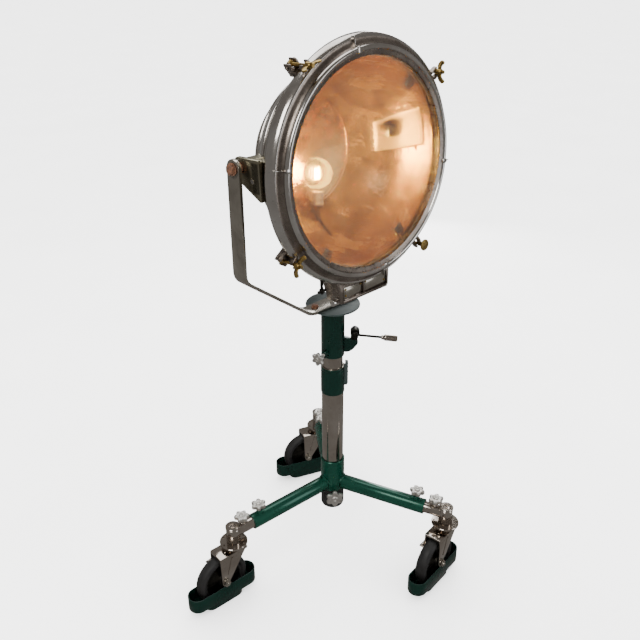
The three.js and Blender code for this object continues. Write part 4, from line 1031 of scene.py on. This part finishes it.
def addBoltHead(bm, place, across, height, washer):
    addTurned(bm, [(0, -0.2), (washer, -0.2), (washer, 1.6), (washer - 0.8, 2.2), (0, 2.2)], place, 36)
    addHexagon(bm, across, 2.0, height - 0.8, place)
    addTurned(bm, [(0, 2), (across * 0.86, 2), (across * 0.86, height - 0.6), (across * 0.7, height),
                   (0, height + 0.2)], place, 36)


def makeTable():
    bm = bmesh.new()
    radius, low, high, spigot = table["radius"], table["bottom"], table["top"], table["spigot"]
    addTurned(bm, [(0, low), (radius - 1.5, low), (radius, low + 1.4), (radius, high - 0.9),
                   (radius - 0.9, high), (0, high)], column, 96)
    addPipe(bm, spigot, spigot - 5, low - table["spigotLength"], low + 1, column, 64)
    placedPiece("tableDisc", bm, tableGrey, "turntable", ["table_disc"], 0.5)
    for side, label in ((-1, "left"), (1, "right")):
        bm = bmesh.new()
        place = column @ shifted(side * table["boltAt"], 0, yoke["bottom"] + yoke["thickness"])
        addBoltHead(bm, place, 9, 7.2, 10.5)
        addRod(bm, 4.8, -22, 3, place, 24)
        addHexagon(bm, 8.4, -20.5, -14.7, place)
        placedPiece(f"{label}BaseBolt", bm, rustySteel, "turntable", [f"yoke_bolt_{label}"], 0.6)
        bm = bmesh.new()
        flip = column @ shifted(0, 0, yoke["eye"]) @ turnedAbout(0 if side > 0 else 180) @ alongX
        outside = yoke["half"]
        addRod(bm, 8, bracket["outer"] - 26, outside + 4, flip, 36)
        addTurned(bm, [(8, outside + 0.3), (15, outside + 0.3), (15, outside + 2.4), (14.2, outside + 3.2),
                       (8, outside + 3.2), (8, outside + 0.3)], flip, 48)
        addHexagon(bm, 13, outside + 2.8, outside + 10, flip)
        addTurned(bm, [(0, outside + 3), (11.3, outside + 3), (11.3, outside + 10), (9.8, outside + 11),
                       (0, outside + 11.2)], flip, 36)
        addPipe(bm, 14, 8.4, bracket["outer"] + 1, outside - 9.6, flip, 40)
        placedPiece(f"{label}TrunnionBolt", bm, rustySteel, "turntable", [f"trunnion_bolt_{label}"], 0.8)


makeTable()

# Column
post = {"baseTube": 32, "hub": 36.25, "hubBottom": 219.5, "hubTop": 327, "wall": 3, "collar": 34.2,
        "collarBottom": 564, "collarTop": 650, "riser": 28.5, "riserBottom": 320, "head": 33,
        "headBottom": 686, "headTop": 841.7, "lugAt": 703, "screwsAt": 829, "lugAngle": 192,
        "sideAngle": 316, "screwAngles": (140, 316)}


def makeBaseTube():
    bm = bmesh.new()
    addPipe(bm, post["baseTube"], post["baseTube"] - post["wall"], post["hubBottom"] + 1,
            post["collarTop"] - 4, column, 96)
    placedPiece("baseColumn", bm, chrome, "stand", ["base_tube"], 0.5)
    bm = bmesh.new()
    addPipe(bm, post["riser"], post["riser"] - post["wall"], post["riserBottom"], 772, column, 96)
    placedPiece("innerColumn", bm, chrome, "riser", ["riser_tube"], 0.5)


def makeCollar():
    bm = bmesh.new()
    radius, low, high, bore = post["collar"], post["collarBottom"], post["collarTop"], post["riser"] + 0.5
    tube = post["baseTube"] + 0.3
    addTurned(bm, [(tube, low), (radius - 1.4, low), (radius, low + 1.8), (radius, high - 10),
                   (radius - 0.5, high - 9.2), (radius - 0.5, high - 8.2), (radius, high - 7.4),
                   (radius, high - 1.8), (radius - 1.2, high), (bore, high), (bore, high - 3.4),
                   (tube, high - 3.4), (tube, low)], column, 96)
    # The collar takes the darker enamel copy as painted shade.
    placedPiece("riserCollar", bm, enamelPaintedShade, "stand", ["riser_collar"], 0.3)
    bm = bmesh.new()
    place = column @ turnedAbout(post["sideAngle"])
    top, height = high + 12, 74
    profile = [(radius - 3, top - height), (radius + 6, top - height), (radius + 8.5, top - height + 4)]
    ribs = 6
    pitch = height / ribs
    for index in range(ribs):
        z = top - height + pitch * index
        profile += [(radius + 7.4, z + 4.5), (radius + 10, z + 6), (radius + 10, z + 9.5),
                    (radius + 7.4, z + 11)]
    profile = profile[:-1] + [(radius + 8, top), (radius + 1, top), (radius + 1, high + 0.6),
                            (radius - 3, high + 0.6)]
    upright = place @ shifted(0, 8.5, 0) @ Matrix.Rotation(math.pi / 2, 4, "X")
    addPrism(bm, profile, 0, 17, upright)
    placedPiece("ribbedBlock", bm, tableGrey, "stand", (), 0.8)
    bm = bmesh.new()
    addTurned(bm, [(bore + 0.2, high - 0.4), (radius - 1.4, high - 0.4), (radius - 2.2, high + 0.35),
                   (bore + 0.2, high + 0.35), (bore + 0.2, high - 0.4)], column, 96)
    placedPiece("collarLip", bm, nickel, "stand", (), 0)


def makeHeadTube():
    bm = bmesh.new()
    radius, low, high, bore = post["head"], post["headBottom"], post["headTop"], post["riser"] + 0.3
    addTurned(bm, [(bore, low), (radius - 1.2, low), (radius, low + 1.5), (radius, high - 1),
                   (radius - 0.8, high), (bore, high), (bore, low)], column, 96)
    place = column @ turnedAbout(post["lugAngle"]) @ shifted(0, 0, post["lugAt"]) @ alongX
    addTurned(bm, [(5.4, 20), (10.5, 20), (10.5, 43), (9, 45), (5.4, 45), (5.4, 20)], place, 40)
    side = column @ turnedAbout(post["sideAngle"]) @ shifted(0, 10,
                            post["headBottom"] + 24.2) @ Matrix.Rotation(math.pi / 2, 4, "X")
    ear = smoothLine([(radius - 3, -26), (radius + 8, -27), (radius + 22, -20), (radius + 35, -4),
                      (radius + 38, 5), (radius + 33, 9)], 3)
    addPrism(bm, ear + [(radius + 4, 17), (radius - 3, 18)], 0, 16, side @ shifted(0, 12, 0))
    # The head tube takes the darker enamel copy as painted shade.
    placedPiece("headTube", bm, enamelPaintedShade, "riser", ["head_tube"], 0.6)
    for azimuth, label in zip(post["screwAngles"], ("left", "right")):
        bm = bmesh.new()
        place = column @ turnedAbout(azimuth) @ shifted(0, 0, post["screwsAt"]) @ alongX
        addRod(bm, 2.5, 28.7, radius + 10, place, 20)
        addTurned(bm, [(0, radius + 6.5), (4.4, radius + 6.5), (5, radius + 7.4), (5, radius + 11),
                       (4.2, radius + 12), (0, radius + 12)], place, 24)
        addPipe(bm, 5.4, 2.7, radius + 0.3, radius + 2.8, place, 6)
        placedPiece(f"{label}TableScrew", bm, darkIron, f"{label}_table_screw", [f"table_screw_{label}"],
                    0.3)


makeBaseTube()
makeCollar()
makeHeadTube()

lever = {"length": 118, "rod": 3.5, "grip": 9, "gripLength": 45, "droop": 6, "side": -17, "shaft": 5}


def makeLever():
    outward = jointPlace("clamp_lever_turn") - columnPlace
    outward.z = 0
    place = placeOn(jointPlace("clamp_lever_turn"), (0, 0, 1), outward)
    bm = bmesh.new()
    eye = place @ alongY
    addTurned(bm, [(5.5, -12), (12, -12), (13, -11), (13, 11), (12, 12), (5.5, 12), (5.5, -12)], eye, 48)
    addPrism(bm, [(-11, -20), (7, -20), (10, -13), (10, -8), (-10, -7)], -11, 11,
             place @ shifted(-1, 0, 0) @ Matrix.Rotation(math.pi / 2, 4, "X"))
    placedPiece("leverHousing", bm, darkIron, "riser", ["lever_housing"], 1.6)
    bm = bmesh.new()
    addRod(bm, lever["shaft"], -15, 15, eye, 28)
    addTurned(bm, [(0, 12.6), (8, 12.6), (9, 13.6), (9, 20.5), (7.5, 22), (0, 22)], eye, 36)
    addTurned(bm, [(0, -22.5), (7, -22.5), (8.5, -21), (8.5, -13.5), (7.5, -12.6), (0, -12.6)], eye, 36)
    arm = place @ shifted(0, lever["side"], 0) @ Matrix.Rotation(math.radians(90 + lever["droop"]), 4, "Y")
    start = lever["length"] - lever["gripLength"]
    addRod(bm, lever["rod"], 0, start + 6, arm, 28)
    placedPiece("clampLever", bm, darkIron, "lever", ["clamp_lever"], 0.5)
    bm = bmesh.new()
    outer, bore = lever["grip"], lever["rod"] + 0.3
    profile = [(bore, start), (outer - 3.4, start), (outer - 2.8, start + 1), (outer - 2.8, start + 6),
               (outer - 1, start + 8.5), (outer, start + 11)]
    for ring in range(6):
        z = start + 14 + 4.4 * ring
        profile += [(outer, z), (outer - 0.55, z + 0.7), (outer, z + 1.4)]
    end = start + lever["gripLength"]
    profile += [(outer, end - 3), (outer - 2.4, end - 0.4), (0, end), (0, start + 8), (bore, start + 8),
                (bore, start)]
    addTurned(bm, profile, arm, 64)
    placedPiece("leverGrip", bm, chrome, "lever", ["lever_grip"], 0)


makeLever()

starKnobs = {"base": {"diameter": 56, "height": 12, "lobes": 6, "scallop": 0.3, "stem": 5,
                      "stemLength": 15.9}, "head": {"diameter": 40, "height": 11, "lobes": 6,
                      "scallop": 0.34, "stem": 5, "stemLength": 38.2}, "leg": {"diameter": 45,
                      "height": 12, "lobes": 6, "scallop": 0.3, "stem": 4, "stemLength": 23},
                      "swivel": {"diameter": 45,
                      "height": 12, "lobes": 6, "scallop": 0.3, "stem": 4, "stemLength": 17}}


def makeKnob(name, joint, standoff, knob, body, node):
    bm = bmesh.new()
    place = placeOn(jointPlace(joint), jointAxis(joint), (0, 0, 1)) @ shifted(0, 0, standoff)
    addStarKnob(bm, place, knob)
    placedPiece(name, bm, knobMetal, body, [node], 0.5)


makeKnob("baseStarKnob", "base_knob_turn", 48.25, starKnobs["base"], "base_knob", "base_lock_knob")
makeKnob("headStarKnob", "head_knob_turn", 67, starKnobs["head"], "head_knob", "head_lock_knob")
print("yoke and column made")

# Hub and legs
legs = {"radius": 22.5, "bore": 17.5, "slider": 17, "end": 296, "inside": 186, "post": 360, "height": 243,
        "boss": 31.5, "knobAt": 268}


def legFrame(number):
    along = jointAxis(f"leg_slide_{number}")
    return placeOn(columnPlace + Vector((0, 0, legs["height"] * mm)), jointAxis(f"leg_knob_turn_{number}"),
                   along)


def makeHub():
    bm = bmesh.new()
    hub, low, high, bore = post["hub"], post["hubBottom"], post["hubTop"], post["baseTube"] + 0.3
    addTurned(bm, [(bore, low), (hub - 1, low), (hub, low + 1), (hub, high - 2), (hub - 1.6, high),
                   (bore, high), (bore, low)], column, 96)
    for number in (1, 2, 3):
        place = legFrame(number)
        end, radius, inner = legs["end"], legs["radius"], legs["bore"]
        tube = [(inner, hub + 2), (radius, hub - 3), (radius, end - 0.8), (radius - 0.8, end),
                (inner + 0.4, end), (inner, end - 1), (inner, hub + 2)]
        addTurned(bm, tube, place @ alongX, 72)
        boss = place @ shifted(legs["knobAt"], 0, 0)
        addTurned(bm, [(4.4, radius - 4), (10.5, radius - 4), (9.2, radius + 1.5), (9, legs["boss"] - 1),
                       (8.2, legs["boss"]), (4.4, legs["boss"]), (4.4, radius - 4)], boss, 36)
    placedPiece("hubAndLegs", bm, enamel, "stand", ["base_spider"], 0.5)
    bm = bmesh.new()
    for number in (1, 2, 3):
        place = legFrame(number)
        points = []
        for step in range(48):
            angle = 2 * math.pi * step / 48
            y, z = (legs["radius"] + 0.6) * math.cos(angle), (legs["radius"] + 0.6) * math.sin(angle)
            x = math.sqrt(hub * hub - y * y) + 0.4
            bead = 1 + 0.12 * math.sin(step * 2.4)
            points.append(place @ (Vector((x * bead ** 0.05, y, z)) * mm))
        addSwept(bm, points, 2.3, 10, True)
    placedPiece("hubWelds", bm, enamel, "stand", (), 0)
    bm = bmesh.new()
    radius, top, bottom = hub - 1.2, low - 0.3, low - 70.3
    addTurned(bm, [(0, bottom), (radius - 12, bottom), (radius - 6, bottom + 1.6),
                   (radius - 2, bottom + 5), (radius, bottom + 10), (radius, top - 14),
                   (radius - 0.9, top - 13), (radius - 0.9, top - 11), (radius, top - 10), (radius, top),
                   (0, top)], column, 80)
    placedPiece("columnFoot", bm, rubber, "stand", ["base_end_cap"], 0.6)


makeHub()

caster = {"stem": 10, "cap": 21, "race": 23, "flange": 40, "eye": 13, "flangeTop": 194,
          "flangeBottom": 188, "plateTop": 175.5, "plateBottom": 168.5, "holes": 6, "holeCircle": 32.5,
          "hole": 3, "socket": 20, "trail": 50, "axle": 83.5, "wheel": 80, "halfTread": 18, "inside": 22,
          "cheek": 5}


def makeLeg(number):
    place = legFrame(number)
    swivel = jointPlace(f"caster_swivel_{number}")
    ground = Vector((swivel.x, swivel.y, 0))
    outward = ground - columnPlace
    postPlace = placeOn(ground, (0, 0, 1), outward)
    postHeight = legs["height"] - legs["post"] * math.tan(math.asin(-jointAxis(f"leg_slide_{number}").z))
    capTop = postHeight + legs["slider"] + 7.6
    bm = bmesh.new()
    addPipe(bm, 17, 14.5, legs["inside"], legs["post"] - 6, place @ alongX, 64)
    low, high, radius = caster["flangeTop"] + 0.5, capTop - 6.5, caster["socket"]
    addTurned(bm, [(10.5, low), (radius - 1, low), (radius, low + 1.5), (radius, high - 2),
                   (radius - 1.5, high), (10.5, high), (10.5, low)], postPlace, 72)
    boss = postPlace @ shifted(-caster["socket"] - 12)
    top = postHeight + legs["slider"] + 6
    addTurned(bm, [(4.3, postHeight + 6), (8, postHeight + 6), (8, top - 1), (7.2, top), (4.3, top),
                   (4.3, postHeight + 6)], boss, 32)
    placedPiece(f"legSlider{number}", bm, chrome, f"leg_{number}", [f"leg_slider_{number}"], 0.5)
    makeKnob(f"legStarKnob{number}", f"leg_knob_turn_{number}", 43.5, starKnobs["leg"],
             f"leg_knob_{number}", f"leg_lock_knob_{number}")
    makeKnob(f"swivelStarKnob{number}", f"swivel_knob_turn_{number}", 35, starKnobs["swivel"],
             f"swivel_knob_{number}", f"swivel_lock_knob_{number}")
    hub = jointPlace(f"wheel_spin_{number}")
    turn = placeOn(ground, (0, 0, 1), Vector((hub.x, hub.y, 0)) - ground)
    makeCasterStem(number, turn, capTop)
    makeFork(number, turn)
    makeWheel(number, turn)
    makeBrake(number, turn)
    makeCup(number, turn)


def makeCasterStem(number, turn, capTop):
    bm = bmesh.new()
    stem, cap, race, flange = caster["stem"], caster["cap"], caster["race"], caster["flange"]
    low, high, start = caster["flangeBottom"], caster["flangeTop"], caster["plateTop"] + 0.3
    profile = [(0, start), (race - 1, start), (race, start + 1), (race, start + 4.6),
               (race - 1, start + 5.6), (race - 1, start + 6.8), (race, start + 7.8), (race, low),
               (flange - 1, low), (flange, low + 1), (flange, high - 1.2), (flange - 1.2, high),
               (stem, high), (stem, capTop - 6), (cap - 1.4, capTop - 6), (cap, capTop - 4.8),
               (cap, capTop - 1.4), (cap - 1.4, capTop), (9.6, capTop), (8.6, capTop - 2.4),
               (6.6, capTop - 2.5), (5.8, capTop - 1.3), (2.6, capTop - 1.3), (2.0, capTop - 2.6),
               (0, capTop - 2.8)]
    addTurned(bm, profile, turn, 80)
    cuts = bmesh.new()
    for index in range(caster["holes"]):
        addRod(cuts, caster["hole"], low - 2, high + 2,
               turn @ turnedAbout(360 * index / caster["holes"]) @ shifted(caster["holeCircle"]), 20)
    placedPiece(f"casterStem{number}", bm, chrome, f"caster_{number}", [f"caster_stem_{number}"], 0, 35,
                cuts)


def makeFork(number, turn):
    bm = bmesh.new()
    inside, thick, trail, axle = caster["inside"], caster["cheek"], caster["trail"], caster["axle"]
    low, high = caster["plateBottom"], caster["plateTop"]
    plate = [(-30, -24), (-27, -27), (63, -27), (65.5, -24.5), (65.5, 24.5), (63, 27), (-27, 27), (-30, 24)]
    addPrism(bm, plate, low, high, turn)
    cheek = [(-22, low + 2)]
    for step in range(13):
        angle = math.radians(190 + 170 * step / 12)
        cheek.append((trail + caster["eye"] * math.cos(angle), axle + caster["eye"] * math.sin(angle)))
    cheek += [(65, low - 20), (65.5, low + 2)]
    for side in (-1, 1):
        sheet = turn @ shifted(0, side * (inside + thick / 2) + thick / 2,
                               0) @ Matrix.Rotation(math.pi / 2, 4, "X")
        addPrism(bm, cheek, 0, thick, sheet)
        stiffener = [(trail - 30, low - 4), (trail - 22, low - 4), (trail - 6, axle + 24),
                     (trail - 12, axle + 22)]
        addPrism(bm, stiffener, -1.8 if side > 0 else thick - 0.5, 0.5 if side > 0 else thick + 1.8, sheet)
    placedPiece(f"casterFork{number}", bm, chrome, f"caster_{number}", [f"caster_fork_{number}"], 1.4)
    bm = bmesh.new()
    spot = turn @ shifted(trail, 0, axle) @ alongY
    reach = inside + thick
    addRod(bm, 6, -reach - 11, reach + 11, spot, 32)
    for side in (-1, 1):
        face = spot if side > 0 else spot @ Matrix.Rotation(math.pi, 4, "X")
        addPipe(bm, 12.5, 6, reach, reach + 1.6, face, 40)
        addHexagon(bm, 11, reach + 1.5, reach + 8, face)
        addTurned(bm, [(0, reach + 9), (6, reach + 9), (6, reach + 10.5), (4.6, reach + 12),
                       (0, reach + 12)], face, 28)
    placedPiece(f"axleNuts{number}", bm, nickel, f"caster_{number}", (), 0.6)


def makeWheel(number, turn):
    spot = turn @ shifted(caster["trail"], 0, caster["axle"]) @ alongY
    radius, half = caster["wheel"], caster["halfTread"]
    tread = smoothLine([(60, -12), (66, -half), (radius - 6, -half + 2), (radius - 1.2, -half * 0.55),
                        (radius, 0)], 5)
    profile = tread + [(r, -z) for r, z in tread[::-1][1:]]
    bm = bmesh.new()
    addTurned(bm, profile + [(56, 11), (56, -11), profile[0]], spot, 96)
    for z in (-half + 1.4, half - 1.4):
        addTurned(bm, [(67.5, z - 0.9), (69, z - 1.4), (70.5, z - 0.9), (70.5, z + 0.9), (69, z + 1.4),
                       (67.5, z + 0.9), (67.5, z - 0.9)], spot, 96)
    placedPiece(f"wheelTyre{number}", bm, rubber, f"wheel_{number}", [f"caster_wheel_{number}"], 0)
    bm = bmesh.new()
    core = [(6.6, -20.5), (17, -20.5), (19, -19), (20.5, -13), (26, -9), (50, -8), (56, -10.5), (61, -11.5)]
    mirrored = [(r, -z) for r, z in core[::-1]]
    addTurned(bm, core + mirrored + [core[0]], spot, 80)
    for index in range(6):
        rib = spot @ turnedAbout(60 * index)
        addPrism(bm, [(20, -2.2), (55, -1.4), (55, 1.4), (20, 2.2)], -11.5, 11.5, rib)
    placedPiece(f"wheelCore{number}", bm, darkIron, f"wheel_{number}", (), 0.4)


def makeBrake(number, turn):
    bm = bmesh.new()
    height = jointPlace(f"brake_press_{number}").z / mm
    outside = caster["inside"] + caster["cheek"] + 0.3
    place = turn @ shifted(20, -outside, height) @ Matrix.Rotation(math.pi / 2, 4, "X")
    outline = smoothLine([(-9, -3), (-6.5, -8), (0, -10), (7, -8.5), (26, -10.5), (46, -13), (54, -13.6),
                          (58, -9), (57, -4.5), (40, -1), (22, 3), (8, 7), (-3, 8), (-8, 3)], 3)
    addPrism(bm, outline, 0.2, 5.2, place)
    addPrism(bm, [(42, -10.2), (58, -10.2), (58, -6.2), (42, -6.2)], -7.5, 8, place)
    addTurned(bm, [(0, -4.4), (4, -4.4), (4, 4), (7.4, 4.6), (7.4, 8), (6, 10), (0, 10)], place, 32)
    placedPiece(f"brakeLever{number}", bm, chrome, f"brake_{number}", [f"brake_lever_{number}"], 0.7)


cup = {"wide": (221.6, 57.6), "well": (125.8, 45.8), "rim": 70, "ledge": 24, "wall": 3, "rimWire": 1.1}


def cupOutline(part, inset):
    length, width = cup[part]
    straight, end = (length - width) / 2, width / 2 - inset
    outline = []
    for side in (1, -1):
        for step in range(17):
            angle = math.radians(11.25 * step - 90 * side)
            outline.append((side * straight + end * math.cos(angle), end * math.sin(angle)))
    return outline


def makeCup(number, turn):
    bm = bmesh.new()
    place = turn @ shifted(caster["trail"])
    rim, ledge, wall = cup["rim"], cup["ledge"], cup["wall"]
    layers = [("well", 2.0, 0), ("well", 0.5, 0.6), ("well", 0, 2.4), ("well", 0, ledge - 1.2),
              ("well", -1.2, ledge), ("wide", 1.4, ledge), ("wide", 0.3, ledge + 0.6),
              ("wide", 0, ledge + 2), ("wide", 0, rim - 1.1), ("wide", 0.6, rim - 0.2),
              ("wide", wall - 0.6, rim - 0.1), ("wide", wall, rim - 1), ("wide", wall, ledge + 5),
              ("wide", wall + 1.6, ledge + wall), ("well", 2.4, ledge + wall), ("well", wall, ledge + 1.6),
              ("well", wall, 4.4), ("well", wall + 1.6, wall)]
    rings = []
    for part, inset, z in layers:
        rings.append([bm.verts.new(place @ (Vector((x, y, z)) * mm)) for x, y in cupOutline(part, inset)])
    for low, high in zip(rings, rings[1:]):
        for index in range(len(low)):
            after = (index + 1) % len(low)
            bm.faces.new([low[index], low[after], high[after], high[index]])
    bm.faces.new(rings[0][::-1])
    bm.faces.new(rings[-1])
    # The cup takes the darker enamel copy as painted shade.
    placedPiece(f"floorCup{number}", bm, enamelPaintedShade, f"cup_{number}", [f"floor_cup_{number}"], 0)
    bm = bmesh.new()
    edge = [place @ (Vector((x, y, rim - cup["rimWire"])) * mm) for x, y in cupOutline("wide", wall / 2)]
    addSwept(bm, edge, cup["rimWire"], 8, True)
    placedPiece(f"cupRim{number}", bm, tableGrey, f"cup_{number}", (), 0)


for legNumber in (1, 2, 3):
    makeLeg(legNumber)
print("legs and casters made")

# Floor, light and surroundings
studio = {"floor": 60.0, "floorGlow": 0.3, "key": 60, "fill": 26, "top": 34, "rim": 30, "skyWhite": 4.5,
          "skyGlossy": (0.22, 0.21, 0.20), "bulb": 26, "bulbColour": (1.0, 0.56, 0.10), "bulbSize": 0.04,
          "bulbForward": 0.012}


def makeFloor():
    bm = bmesh.new()
    half = studio["floor"] / 2 / mm
    addPrism(bm, [(-half, -half), (half, -half), (half, half), (-half, half)], -40, -0.2)
    mesh = bpy.data.meshes.new("studioFloor")
    bm.to_mesh(mesh)
    bm.free()
    floor = bpy.data.objects.new("studioFloor", mesh)
    scene.collection.objects.link(floor)
    material, tree, shader, source = newMaterial("paleFloor")
    slow = noiseNode(tree, source, 2.0, 3.0)
    tree.links.new(rampNode(tree, slow, [(0.3, (0.86, 0.86, 0.855)), (0.7, (0.90, 0.90, 0.895))]),
                   shader.inputs["Base Color"])
    shader.inputs["Roughness"].default_value = 0.9
    shader.inputs["Emission Color"].default_value = (1, 1, 1, 1)
    shader.inputs["Emission Strength"].default_value = studio["floorGlow"]
    mesh.materials.append(material)
    floor.visible_glossy = False


def makeSky():
    world = bpy.data.worlds.new("studioSky")
    scene.world = world
    world.use_nodes = True
    tree = world.node_tree
    tree.nodes.clear()
    path = tree.nodes.new("ShaderNodeLightPath")
    plain, glossy = tree.nodes.new("ShaderNodeBackground"), tree.nodes.new("ShaderNodeBackground")
    plain.inputs["Color"].default_value = (1, 1, 1, 1)
    plain.inputs["Strength"].default_value = studio["skyWhite"]
    glossy.inputs["Color"].default_value = (*studio["skyGlossy"], 1)
    mix, out = tree.nodes.new("ShaderNodeMixShader"), tree.nodes.new("ShaderNodeOutputWorld")
    tree.links.new(path.outputs["Is Glossy Ray"], mix.inputs["Fac"])
    tree.links.new(plain.outputs["Background"], mix.inputs[1])
    tree.links.new(glossy.outputs["Background"], mix.inputs[2])
    tree.links.new(mix.outputs["Shader"], out.inputs["Surface"])


def addSoftLight(name, place, aim, size, power, colour=(1, 1, 1)):
    data = bpy.data.lights.new(name, "AREA")
    data.shape = "RECTANGLE"
    data.size, data.size_y = size
    data.energy = power
    data.color = colour
    light = bpy.data.objects.new(name, data)
    scene.collection.objects.link(light)
    light.location = Vector(place)
    light.rotation_mode = "QUATERNION"
    light.rotation_quaternion = (Vector(aim) - Vector(place)).to_track_quat("-Z", "Y")


makeFloor()
makeSky()
addSoftLight("keyLight", (-2.6, -1.0, 3.4), (0, 0, 0.9), (1.6, 1.6), studio["key"], (1.0, 0.98, 0.95))
addSoftLight("fillLight", (1.6, -3.2, 1.6), (0, 0, 0.7), (1.2, 2.2), studio["fill"], (0.95, 0.97, 1.0))
addSoftLight("topLight", (0.6, 0.9, 3.2), (0, 0, 0.6), (1.8, 1.8), studio["top"])
addSoftLight("rimLight", (2.4, 1.6, 1.4), (0, 0, 0.8), (0.5, 2.4), studio["rim"])


def addBulbLight():
    data = bpy.data.lights.new("bulbLight", "POINT")
    data.energy = studio["bulb"]
    data.color = studio["bulbColour"]
    data.shadow_soft_size = studio["bulbSize"]
    light = bpy.data.objects.new("bulbLight", data)
    scene.collection.objects.link(light)
    light.location = bulbPlace.translation - backward * studio["bulbForward"]


addBulbLight()
print("studio made")
